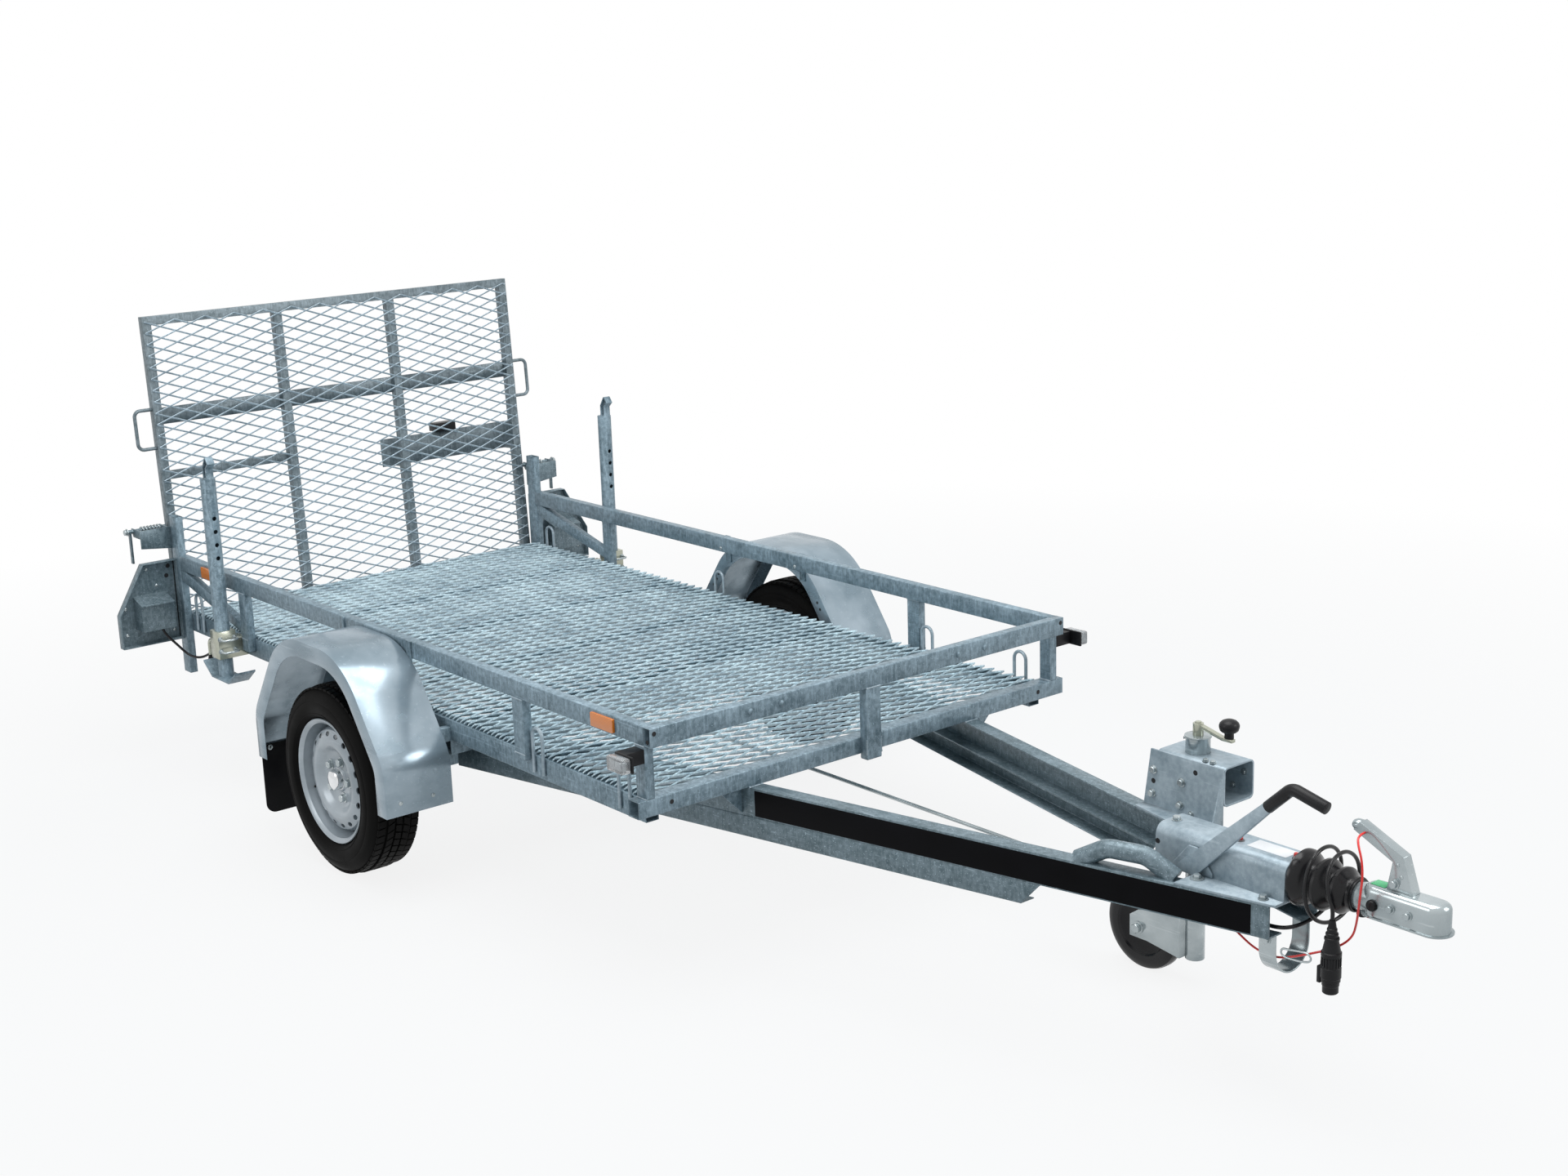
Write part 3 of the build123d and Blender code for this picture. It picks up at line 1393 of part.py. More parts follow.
# Coupling head: domed body on a lip, a clamped sleeve at the rear, the ball cup under the front
head_span = ball_x - head_rear_x - head_sleeve / 2
with BuildPart() as coupling_head:
    with BuildSketch(Plane.XY.offset(head_foot_z)) as body:
        with Locations((ball_x - head_span / 2, 0)):
            SlotCenterToCenter(head_span, 2 * head_radius)
    extrude(body.sketch, amount=head_top_z - head_foot_z)
    fillet(coupling_head.edges().group_by(Axis.Z)[-1], radius=head_round)
    with BuildSketch(Plane.XY.offset(head_foot_z)) as lip:
        with Locations((ball_x - head_span / 2, 0)):
            SlotCenterToCenter(head_span, 2 * (head_radius + head_lip))
    extrude(lip.sketch, amount=head_lip_sheet)
    with BuildSketch(Plane.YZ.offset(head_rear_x)) as sleeve:
        with Locations((0, shaft_z)):
            Circle(head_radius)
    extrude(sleeve.sketch, amount=head_sleeve)
    with BuildSketch(Plane.YZ.offset(head_rear_x)) as bore:
        with Locations((0, shaft_z)):
            Circle(shaft_radius)
    extrude(bore.sketch, amount=head_socket, mode=Mode.SUBTRACT)
    with BuildSketch(Plane.XY.offset(head_foot_z)) as cup:
        with Locations((ball_x, 0)):
            Circle(ball_radius)
    extrude(cup.sketch, amount=ball_depth, mode=Mode.SUBTRACT)
save(coupling_head.part, "coupling_head")

# Coupling handle: a channel bent over towards the rear
handle_foot_x = head_rear_x + handle_foot_ahead
handle_knee_x = head_rear_x + handle_knee_ahead
handle_tip_x = head_rear_x - handle_tip_behind
with BuildPart() as coupling_handle:
    with BuildSketch(Plane.XZ.offset(-handle_width / 2)) as lever:
        with BuildLine():
            Polyline(
                (handle_foot_x, head_top_z),
                (handle_foot_x + handle_root, head_top_z),
                (handle_knee_x, handle_knee_z),
                (handle_tip_x + handle_tip_slant, handle_tip_z),
                (handle_tip_x, handle_tip_z - handle_tip_height),
                (handle_knee_x - handle_throat, handle_knee_z - handle_throat_drop),
                close=True,
            )
        make_face()
    extrude(lever.sketch, amount=handle_width)
    with BuildSketch(Plane.XZ.offset(handle_sheet - handle_width / 2)) as hollow:
        with BuildLine():
            Polyline(
                (handle_foot_x + handle_root - handle_sheet, head_top_z),
                (handle_knee_x - handle_sheet, handle_knee_z - handle_sheet),
                (handle_tip_x + handle_tip_slant, handle_tip_z - handle_sheet),
                (handle_tip_x - overrun, handle_tip_z - handle_sheet),
                (handle_tip_x - overrun, head_top_z),
                close=True,
            )
        make_face()
    extrude(hollow.sketch, amount=handle_width - 2 * handle_sheet, mode=Mode.SUBTRACT)
save(coupling_handle.part, "coupling_handle")

# Handbrake lever on the right of the housing, with its toothed sector's plate and its bent grip
brake_pivot_x = front_x + brake_pivot_reach
brake_grip_x = front_x + brake_grip_reach
sector_rear_x = front_x + sector_rear_reach
sector_front_x = sector_rear_x + sector_length
sector_middle_x = (sector_rear_x + sector_front_x) / 2
sector_sheet = brake_lever_y - brake_lever_width / 2 - housing_foot_half
shank_run = Vector(brake_grip_x - brake_pivot_x, 0, brake_grip_z - housing_foot_z).normalized()
with BuildPart() as brake_lever:
    with BuildSketch(Plane.XZ.offset(brake_lever_y - brake_lever_width / 2)) as shank:
        across = Vector(shank_run.Z, -shank_run.X) * brake_shank / 2
        tip = Vector(brake_grip_x, brake_grip_z)
        with BuildLine():
            Polyline(
                (brake_pivot_x - brake_root, housing_foot_z),
                (brake_pivot_x + brake_root, housing_foot_z),
                tip + across,
                tip - across,
                close=True,
            )
        make_face()
    extrude(shank.sketch, amount=brake_lever_width)
    with BuildSketch(Plane.XZ.offset(housing_foot_half)) as sector:
        with BuildLine():
            Polyline(
                (sector_rear_x, housing_foot_z),
                (sector_front_x, housing_foot_z),
                (sector_front_x, housing_foot_z + sector_edge),
                (sector_middle_x + sector_crown / 2, housing_foot_z + sector_height),
                (sector_middle_x - sector_crown / 2, housing_foot_z + sector_height),
                (sector_rear_x, housing_foot_z + sector_edge),
                close=True,
            )
        make_face()
    extrude(sector.sketch, amount=sector_sheet)
save(brake_lever.part, "brake_lever")

with BuildPart() as lever_grip:
    with BuildLine(Plane.XZ.offset(brake_lever_y)) as bend:
        FilletPolyline(
            (brake_grip_x, brake_grip_z),
            (brake_grip_x + grip_straight * shank_run.X, brake_grip_z + grip_straight * shank_run.Z),
            (front_x + grip_tip_reach, grip_tip_z),
            radius=grip_radius * 2,
        )
    with BuildSketch(Plane(origin=bend.line @ 0, z_dir=bend.line % 0)) as section:
        Circle(grip_radius)
    sweep(section.sketch, path=bend.line)
save(lever_grip.part, "lever_grip")

# Safety loop under the nose
with BuildPart() as safety_loop:
    with BuildSketch(Plane.YZ.offset(beam_nose_x - loop_strap)) as loop:
        for reach, mode in ((loop_half_width, Mode.ADD), (loop_half_width - loop_sheet, Mode.SUBTRACT)):
            with BuildLine():
                legs = Polyline(
                    (reach, loop_foot_z + loop_half_width),
                    (reach, beam_foot_z),
                    (-reach, beam_foot_z),
                    (-reach, loop_foot_z + loop_half_width),
                )
                ThreePointArc(legs @ 1, (0, loop_foot_z + loop_half_width - reach), legs @ 0)
            make_face(mode=mode)
    extrude(loop.sketch, amount=loop_strap)
save(safety_loop.part, "safety_loop")

# Brake rod from the overrun lever to the axle
relay_x = housing_rear_x + relay_setback
with BuildPart() as brake_rod:
    with BuildSketch(Plane.YZ.offset(axle_tube_x + axle_tube_size / 2)) as rod:
        with Locations((0, brake_rod_z)):
            Circle(brake_rod_radius)
    extrude(rod.sketch, amount=relay_x - axle_tube_x - axle_tube_size / 2)
    # Relay lever that hangs from the housing and pulls the rod
    with BuildSketch(Plane.XZ.offset(-relay_width / 2)) as relay:
        with Locations((relay_x, housing_foot_z)):
            Rectangle(
                relay_depth, housing_foot_z - brake_rod_z + relay_depth / 2,
                align=(Align.CENTER, Align.MAX),
            )
    extrude(relay.sketch, amount=relay_width)
save(brake_rod.part, "brake_rod")

# Jockey wheel bracket: open box round the tube, with its plate and foot on the left beam
bracket_web_y = jockey_y - bracket_half_width
bracket_rear_x = jockey_x - bracket_rear
bracket_front_x = jockey_x + bracket_front
bracket_height = bracket_top_z - bracket_low_z
with BuildPart() as jockey_bracket:
    with BuildSketch(Plane.XZ.offset(-bracket_web_y)) as web:
        with BuildLine():
            Polyline(
                (bracket_rear_x, beam_top_z),
                (bracket_front_x, beam_top_z),
                (bracket_front_x, bracket_top_z),
                (bracket_rear_x + bracket_rear_slant, bracket_top_z),
                close=True,
            )
        make_face()
    extrude(web.sketch, amount=bracket_sheet)
    with BuildSketch(Plane.YZ.offset(bracket_rear_x + bracket_box_setback)) as box:
        with Locations((jockey_y, bracket_low_z + bracket_height / 2)):
            RectangleRounded(2 * bracket_half_width, bracket_height, bracket_round)
            RectangleRounded(
                2 * (bracket_half_width - bracket_sheet), bracket_height - 2 * bracket_sheet,
                bracket_round - bracket_sheet, mode=Mode.SUBTRACT,
            )
    extrude(box.sketch, amount=bracket_front_x - bracket_rear_x - bracket_box_setback)
    with BuildSketch(Plane.XY.offset(bracket_low_z)) as passage:
        with Locations((jockey_x, jockey_y)):
            Circle(jockey_tube_radius)
    extrude(passage.sketch, amount=bracket_height, mode=Mode.SUBTRACT)
    with BuildSketch(Plane.XY.offset(beam_top_z)) as foot:
        with BuildLine():
            Polyline(
                (bracket_rear_x, bracket_web_y),
                (bracket_front_x, bracket_web_y),
                (bracket_front_x, beam_outer_y(bracket_front_x) - beam_flange),
                (bracket_rear_x, beam_outer_y(bracket_rear_x) - beam_flange),
                close=True,
            )
        make_face()
    extrude(foot.sketch, amount=bracket_sheet)
    with BuildSketch(Plane.YZ.offset(bracket_front_x - bracket_sheet)) as gusset:
        with BuildLine():
            Polyline(
                (bracket_web_y, beam_top_z),
                (bracket_web_y - bracket_gusset, beam_top_z),
                (bracket_web_y - bracket_sheet, bracket_top_z - bracket_round),
                (bracket_web_y, bracket_top_z - bracket_round),
                close=True,
            )
        make_face()
    extrude(gusset.sketch, amount=bracket_sheet)
save(jockey_bracket.part, "jockey_bracket")

with BuildPart() as jockey_tube:
    with BuildSketch(Plane.XY.offset(jockey_tube_foot_z)) as tube:
        with Locations((jockey_x, jockey_y)):
            Circle(jockey_tube_radius)
            Circle(jockey_leg_radius + jockey_fit, mode=Mode.SUBTRACT)
    extrude(tube.sketch, amount=jockey_tube_top_z - jockey_tube_foot_z)
    with BuildSketch(Plane.XY.offset(jockey_tube_top_z)) as cap:
        with Locations((jockey_x, jockey_y)):
            Circle(jockey_cap_radius)
    extrude(cap.sketch, amount=jockey_cap)
save(jockey_tube.part, "jockey_tube")

crank_foot_z = jockey_tube_top_z + jockey_cap
crank_top_z = crank_foot_z + crank_hub_height
with BuildPart() as jockey_crank:
    with BuildSketch(Plane.XY.offset(crank_foot_z)) as stub:
        with Locations((jockey_x, jockey_y)):
            Circle(crank_hub_radius)
    extrude(stub.sketch, amount=crank_hub_height)
    # Flat arm that falls outwards to the knob
    with BuildSketch(Plane.XZ.offset(-jockey_y - crank_hub_radius / 2)) as arm:
        with BuildLine():
            Polyline(
                (jockey_x, crank_top_z - crank_arm_height),
                (jockey_x + crank_fall_reach, crank_foot_z + crank_arm_height / 2),
                (jockey_x + crank_reach, crank_foot_z + crank_arm_height / 2),
                (jockey_x + crank_reach, crank_foot_z + crank_arm_height * 3 / 2),
                (jockey_x + crank_fall_reach, crank_foot_z + crank_arm_height * 3 / 2),
                (jockey_x, crank_top_z),
                close=True,
            )
        make_face()
    extrude(arm.sketch, amount=crank_hub_radius)
save(jockey_crank.part, "jockey_crank")

with BuildPart() as crank_knob:
    with BuildSketch(Plane.XZ.offset(-jockey_y)) as knob:
        low_z = crank_foot_z + crank_arm_height * 3 / 2
        x = jockey_x + crank_reach - knob_set_in
        with BuildLine():
            Polyline(
                (x, low_z),
                (x + knob_neck, low_z),
                (x + knob_neck, low_z + knob_neck_height),
                (x + knob_radius, low_z + knob_shoulder_height),
                (x + knob_crown_radius, low_z + knob_height),
                (x, low_z + knob_height),
                close=True,
            )
        make_face()
    revolve(knob.sketch, axis=Axis((x, jockey_y, 0), (0, 0, 1)))
save(crank_knob.part, "crank_knob")

# Inner leg, fork and wheel of the jockey
leg_top_z = jockey_tube_top_z - jockey_stroke - hinge_gap
with BuildPart() as jockey_leg:
    with BuildSketch(Plane.XY.offset(jockey_crown_z)) as leg:
        with Locations((jockey_x, jockey_y)):
            Circle(jockey_leg_radius)
    extrude(leg.sketch, amount=leg_top_z - jockey_crown_z)
    with BuildSketch(Plane.XY.offset(fork_sleeve_foot_z)) as stem:
        with Locations((jockey_x, jockey_y)):
            Circle(stem_radius)
    extrude(stem.sketch, amount=jockey_crown_z - fork_sleeve_foot_z)
save(jockey_leg.part, "jockey_leg")

jockey_wheel_x = jockey_x - jockey_trail
with BuildPart() as jockey_fork:
    fork_gap = jockey_wheel_width + 2 * hinge_gap
    fork_half = fork_gap / 2 + jockey_fork_plate
    with BuildSketch(Plane.XY.offset(fork_sleeve_foot_z)) as sleeve:
        with Locations((jockey_x, jockey_y)):
            Circle(fork_sleeve_radius)
            Circle(stem_radius + hinge_fit, mode=Mode.SUBTRACT)
    extrude(sleeve.sketch, amount=jockey_crown_z - jockey_crown_gap - fork_sleeve_foot_z)
    for side in (-1, 1):
        with BuildSketch(Plane.XZ.offset(-jockey_y - side * fork_half)) as plate:
            with BuildLine():
                Polyline(
                    (jockey_wheel_x - fork_tip, jockey_wheel_radius - fork_tip),
                    (jockey_wheel_x + fork_tip, jockey_wheel_radius - fork_tip),
                    (jockey_x - fork_sleeve_radius + tube_wall, fork_sleeve_foot_z),
                    (jockey_x - fork_sleeve_radius + tube_wall, fork_plate_top_z),
                    (jockey_wheel_x, fork_plate_top_z - fork_tip),
                    (jockey_wheel_x - fork_tip, jockey_wheel_radius + fork_tip),
                    close=True,
                )
            make_face()
        extrude(plate.sketch, amount=side * jockey_fork_plate)
    with BuildSketch(Plane.YZ.offset(jockey_x - fork_sleeve_radius + tube_wall)) as bridge:
        with BuildLine():
            Polyline(
                (jockey_y - fork_half, fork_sleeve_foot_z), (jockey_y + fork_half, fork_sleeve_foot_z),
                (jockey_y + fork_half, fork_plate_top_z), (jockey_y - fork_half, fork_plate_top_z), close=True,
            )
        make_face()
    extrude(bridge.sketch, amount=-jockey_fork_plate)
    with BuildSketch(Plane.XZ.offset(-jockey_y - fork_half)) as pin:
        with Locations((jockey_wheel_x, jockey_wheel_radius)):
            Circle(hinge_pin_radius)
    extrude(pin.sketch, amount=2 * fork_half)
save(jockey_fork.part, "jockey_fork")

with BuildPart() as jockey_wheel:
    with BuildSketch(Plane.XZ.offset(-jockey_y - jockey_wheel_width / 2)) as disc:
        with Locations((jockey_wheel_x, jockey_wheel_radius)):
            Circle(jockey_wheel_radius)
            Circle(hinge_pin_radius + hinge_fit, mode=Mode.SUBTRACT)
    extrude(disc.sketch, amount=jockey_wheel_width)
save(jockey_wheel.part, "jockey_wheel")

# Lead from the right beam, round the bellows and down to its plug


def add_cord(points, radius):
    """Round cord along straight runs joined by arcs as large as the runs allow, its radii printed."""
    radii = []
    for before, corner, after in zip(points, points[1:], points[2:]):
        arriving = Vector(*corner) - Vector(*before)
        leaving = Vector(*after) - Vector(*corner)
        shorter = min(arriving.length, leaving.length)
        half_turn = math.radians(arriving.get_angle(leaving)) / 2
        radii.append(run_share * shorter / math.tan(half_turn))
    print([round(value) for value in radii])
    with BuildLine() as route:
        FilletPolyline(*points, radius=radii)
    with BuildSketch(Plane(origin=route.line @ 0, z_dir=route.line % 0)) as section:
        Circle(radius)
    sweep(section.sketch, path=route.line)
    print(round(sum(edge.length for edge in route.edges())), "mm along its line")


with BuildPart() as plug_lead:
    add_cord(lead_route, lead_radius)
    print(round(plug_lead.part.volume / (math.pi * lead_radius**2)), "mm by volume")
save(plug_lead.part, "plug_lead")

plug_x, plug_y, plug_top_z = lead_route[-1]
with BuildPart() as lead_plug:
    with BuildSketch(Plane.XZ.offset(-plug_y)) as shell:
        with BuildLine():
            Polyline(
                (plug_x, plug_top_z),
                (plug_x + plug_neck_radius, plug_top_z),
                (plug_x + plug_radius, plug_top_z - plug_cone),
                (plug_x + plug_radius, plug_top_z - plug_length + plug_foot),
                (plug_x + plug_foot_radius, plug_top_z - plug_length),
                (plug_x, plug_top_z - plug_length),
                close=True,
            )
        make_face()
    revolve(shell.sketch, axis=Axis((plug_x, plug_y, 0), (0, 0, 1)))
save(lead_plug.part, "lead_plug")

# Breakaway cable from the relay lever, through the safety loop, to the coupling handle
cable_start = cable_route[0]
with BuildPart() as cable_clip:
    with BuildSketch(Plane.YZ.offset(relay_x + relay_depth / 2)) as ferrule:
        with Locations((cable_start[1], cable_start[2])):
            Circle(ferrule_radius)
    extrude(ferrule.sketch, amount=cable_start[0] - relay_x - relay_depth / 2)
save(cable_clip.part, "cable_clip")

with BuildPart() as breakaway_cable:
    add_cord(cable_route, cable_radius)
    print(round(breakaway_cable.part.volume / (math.pi * cable_radius**2)), "mm by volume")
save(breakaway_cable.part, "breakaway_cable")
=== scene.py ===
"""Looks of a single-axle braked utility trailer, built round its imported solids.

Everything is in metres in the trailer's own frame: +X forwards to the coupling, +Y to the left and +Z up,
with the ground at zero under the middle of the whole. Rows of places that start with a reach are in
millimetres: forward of the guard rail's front face, left of the middle, above the ground.
"""

from __future__ import annotations

import logging
import math
from contextlib import contextmanager
from dataclasses import dataclass, field
from enum import Enum
from typing import Callable, Iterator, Sequence

import bpy
from mathutils import Matrix, Vector


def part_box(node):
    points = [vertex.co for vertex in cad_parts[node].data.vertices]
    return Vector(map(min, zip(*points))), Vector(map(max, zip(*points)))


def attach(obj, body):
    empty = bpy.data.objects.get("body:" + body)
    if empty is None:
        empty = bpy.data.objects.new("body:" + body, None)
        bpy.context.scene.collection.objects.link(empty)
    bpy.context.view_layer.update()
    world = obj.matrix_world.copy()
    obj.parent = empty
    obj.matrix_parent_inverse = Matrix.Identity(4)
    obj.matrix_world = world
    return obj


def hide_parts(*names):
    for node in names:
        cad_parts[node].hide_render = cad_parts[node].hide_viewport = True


logging.basicConfig(level=logging.INFO, format="%(message)s")
log = logging.getLogger("trailer")

Piece = bpy.types.Object
Socket = bpy.types.NodeSocket
Rows = Sequence[Sequence[float]]

MM = 0.001
FULL_TURN = 2 * math.pi
SIDES = ((1, "left"), (-1, "right"))
RAIL_FRONT = 566.5
ORIGIN = (0, 0, 0)
WHITE = (1, 1, 1, 1)
FORE = Vector((1, 0, 0))
RIGHT = Vector((0, -1, 0))
UP = Vector((0, 0, 1))


class Along(Enum):
    """The three directions a piece can be spun about."""

    X = (1.0, 0.0, 0.0)
    Y = (0.0, 1.0, 0.0)
    Z = (0.0, 0.0, 1.0)


class Lens(Enum):
    """Colours of the moulded lenses."""

    CLEAR = (0.86, 0.88, 0.9)
    RED = (0.5, 0.012, 0.008)
    ORANGE = (0.92, 0.25, 0.015)


# Shader nodes


class Wiring:
    """A node tree with short ways to add and join its nodes."""

    def __init__(self, tree: bpy.types.NodeTree) -> None:
        """Takes a tree.

        Args:
            tree: The tree that gets the nodes.
        """
        self.tree = tree

    def feed(self, entry: Socket, value: Socket | float | Sequence[float]) -> None:
        """Links an input to a socket, or sets its value.

        Args:
            entry: The input.
            value: What it gets.
        """
        if isinstance(value, bpy.types.NodeSocket):
            self.tree.links.new(value, entry)
        else:
            entry.default_value = value

    def add(self, kind: str, values: dict | None = None, **settings: str) -> bpy.types.Node:
        """Adds a node.

        Args:
            kind: The node's type, without ShaderNode.
            values: What each of its inputs gets.
            settings: The node's own settings.

        Returns:
            The node.
        """
        node = self.tree.nodes.new(f"ShaderNode{kind}")
        for name, value in settings.items():
            setattr(node, name, value)
        for name, value in (values or {}).items():
            self.feed(node.inputs[name], value)
        return node

    def maths(self, operation: str, first: Socket | float, second: Socket | float) -> Socket:
        """Works on two numbers.

        Args:
            operation: The Math node's operation.
            first: A socket or a number.
            second: A socket or a number.

        Returns:
            The result.
        """
        return self.add("Math", {0: first, 1: second}, operation=operation).outputs[0]

    def noise(
        self, place: Socket, scale: float, detail: float, stretch: Sequence[float] | None = None,
    ) -> Socket:
        """Adds a noise pattern.

        Args:
            place: The coordinates.
            scale: Repeats for each metre.
            detail: How many finer layers it has.
            stretch: Three factors on the coordinates, or None.

        Returns:
            The pattern's value.
        """
        if stretch is not None:
            place = self.add("Mapping", {"Scale": stretch, "Vector": place}).outputs["Vector"]
        return self.add("TexNoise", {"Scale": scale, "Detail": detail, "Vector": place}).outputs["Fac"]

    def spread(self, value: Socket, low: float, high: float, bottom: float = 0.0, top: float = 1.0) -> Socket:
        """Maps one range of numbers to another.

        Args:
            value: The number.
            low: What becomes the bottom.
            high: What becomes the top.
            bottom: The least result.
            top: The greatest result.

        Returns:
            The mapped number.
        """
        ends = {"From Min": low, "From Max": high, "To Min": bottom, "To Max": top, "Value": value}
        return self.add("MapRange", ends).outputs["Result"]

    def blend(self, first: Sequence[float], second: Sequence[float], share: Socket) -> Socket:
        """Mixes two colours.

        Args:
            first: The colour at a share of 0.
            second: The colour at a share of 1.
            share: How much of the second shows.

        Returns:
            The mixed colour.
        """
        ends = {"A": (*first, 1.0), "B": (*second, 1.0), "Factor": share}
        return self.add("Mix", ends, data_type="RGBA").outputs["Result"]

    def bump(self, strength: float, distance: float, height: Socket) -> Socket:
        """Turns a pattern into bumps.

        Args:
            strength: How strongly they show.
            distance: How high they are.
            height: The pattern.

        Returns:
            The bumped normal.
        """
        values = {"Strength": strength, "Distance": distance, "Height": height}
        return self.add("Bump", values).outputs["Normal"]

    def group(self, tree: bpy.types.NodeTree, place: Socket) -> bpy.types.Node:
        """Adds a shared group.

        Args:
            tree: The group's tree.
            place: The coordinates it reads.

        Returns:
            The group's node.
        """
        node = self.tree.nodes.new("ShaderNodeGroup")
        node.node_tree = tree
        self.feed(node.inputs["Vector"], place)
        return node

    def seen(self) -> Socket:
        """Tells rays that see a surface from rays that it lights.

        Returns:
            1 for camera, transmission and glossy rays.
        """
        path = self.add("LightPath")
        seen = self.maths("MAXIMUM", path.outputs["Is Camera Ray"], path.outputs["Is Transmission Ray"])
        return self.maths("MAXIMUM", seen, path.outputs["Is Glossy Ray"])

    def show(self, lighting: Socket, white: Socket, share: Socket, output: str) -> None:
        """Shows white to the rays that see and the lighting shader to the rest.

        Args:
            lighting: The shader that lights the trailer.
            white: The shader that is seen.
            share: How much of it shows.
            output: The output node's name.
        """
        mixed = self.add("MixShader", {"Fac": share, 1: lighting, 2: white}).outputs["Shader"]
        self.feed(self.tree.nodes[output].inputs["Surface"], mixed)


@dataclass(frozen=True)
class Pattern:
    """A noise pattern with its middle widened to the range from 0 to 1."""

    scale: float
    detail: float
    low: float = 0.3
    high: float = 0.7
    stretch: tuple[float, float, float] | None = None

    def lay(self, wiring: Wiring, place: Socket) -> Socket:
        """Adds the pattern to a tree.

        Args:
            wiring: The tree.
            place: The coordinates it reads.

        Returns:
            The pattern's value.
        """
        return wiring.spread(wiring.noise(place, self.scale, self.detail, self.stretch), self.low, self.high)


def build_group(name: str, patterns: dict[str, Pattern], scaled: bool) -> bpy.types.NodeTree:
    """Builds a shader group with one output for each pattern.

    Args:
        name: The group's name.
        patterns: The patterns by their output's name.
        scaled: Whether an Amount input scales them all.

    Returns:
        The group.
    """
    tree = bpy.data.node_groups.new(name, "ShaderNodeTree")
    tree.interface.new_socket(name="Vector", in_out="INPUT", socket_type="NodeSocketVector")
    if scaled:
        amount = tree.interface.new_socket(name="Amount", in_out="INPUT", socket_type="NodeSocketFloat")
        amount.default_value = 1.0
    for output in patterns:
        tree.interface.new_socket(name=output, in_out="OUTPUT", socket_type="NodeSocketFloat")
    wiring = Wiring(tree)
    inputs = tree.nodes.new("NodeGroupInput")
    outputs = tree.nodes.new("NodeGroupOutput")
    for output, pattern in patterns.items():
        value = pattern.lay(wiring, inputs.outputs["Vector"])
        if scaled:
            value = wiring.maths("MULTIPLY", value, inputs.outputs["Amount"])
        wiring.feed(outputs.inputs[output], value)
    return tree


class Groups:
    """The shader groups that finishes share, each built once."""

    zinc: bpy.types.NodeTree
    marks: bpy.types.NodeTree
    zinc_patterns = {
        "Cloud": Pattern(9.0, 6.0, 0.32, 0.68),
        "Mottle": Pattern(75.0, 5.0, 0.36, 0.64),
        "Runs": Pattern(60.0, 3.0, 0.5, 0.68, (2.4, 2.4, 0.5)),
        "Specks": Pattern(290.0, 1.0, 0.66, 0.74),
    }
    mark_patterns = {
        "Smears": Pattern(14.0, 5.0, 0.45, 0.7, (0.5, 1.0, 1.5)),
        "Scratches": Pattern(90.0, 3.0, 0.64, 0.7, (0.08, 1.0, 1.8)),
    }

    @classmethod
    def build(cls) -> None:
        """Builds the group for hot-dip zinc and the group for handling marks."""
        cls.zinc = build_group("hot_dip_zinc", cls.zinc_patterns, False)
        cls.marks = build_group("handling_marks", cls.mark_patterns, True)


# Finishes


def new_material(name: str) -> tuple[bpy.types.Material, Wiring, bpy.types.Node]:
    """Makes a material.

    Args:
        name: The material's name.

    Returns:
        The material, its wiring and its Principled shader.
    """
    material = bpy.data.materials.new(name)
    material.use_nodes = True
    wiring = Wiring(material.node_tree)
    return material, wiring, wiring.tree.nodes["Principled BSDF"]


@dataclass(frozen=True)
class Finish:
    """A surface finish: its colours, how rough, metallic and bumpy it is, and its slot in the record."""

    name: str
    dark: tuple[float, float, float]
    light: tuple[float, float, float]
    metallic: float = 0.0
    rough_low: float = 0.4
    rough_high: float = 0.6
    bump: float = 0.1
    bump_distance: float = 0.0004
    coat: float = 0.0
    shine: float = 0.5
    slot: str = ""
    broad: Pattern = Pattern(10.0, 4.0)
    fine_scale: float = 600.0
    fine_detail: float = 3.0

    def share(self, wiring: Wiring, place: Socket) -> tuple[Socket, Socket, Socket]:
        """Lays the patterns of a plain grained finish such as rubber, plastic or paint.

        Args:
            wiring: The material's tree.
            place: The object coordinates.

        Returns:
            How much of the light colour shows, and what roughness and bump follow.
        """
        broad = self.broad.lay(wiring, place)
        fine = wiring.noise(place, self.fine_scale, self.fine_detail)
        return wiring.spread(wiring.maths("MULTIPLY", broad, fine), 0.05, 0.6), broad, fine

    def build(self) -> bpy.types.Material:
        """Builds the finish from its patterns.

        Returns:
            The material.
        """
        material, wiring, shader = new_material(self.name)
        material.diffuse_color = (*self.light, 1.0)
        share, rough, height = self.share(wiring, wiring.add("TexCoord").outputs["Object"])
        for name, value in (
            ("Metallic", self.metallic),
            ("Coat Weight", self.coat),
            ("Specular IOR Level", self.shine),
            ("Base Color", wiring.blend(self.dark, self.light, share)),
            ("Roughness", wiring.spread(rough, 0.0, 1.0, self.rough_low, self.rough_high)),
            ("Normal", wiring.bump(self.bump, self.bump_distance, height)),
        ):
            wiring.feed(shader.inputs[name], value)
        return material


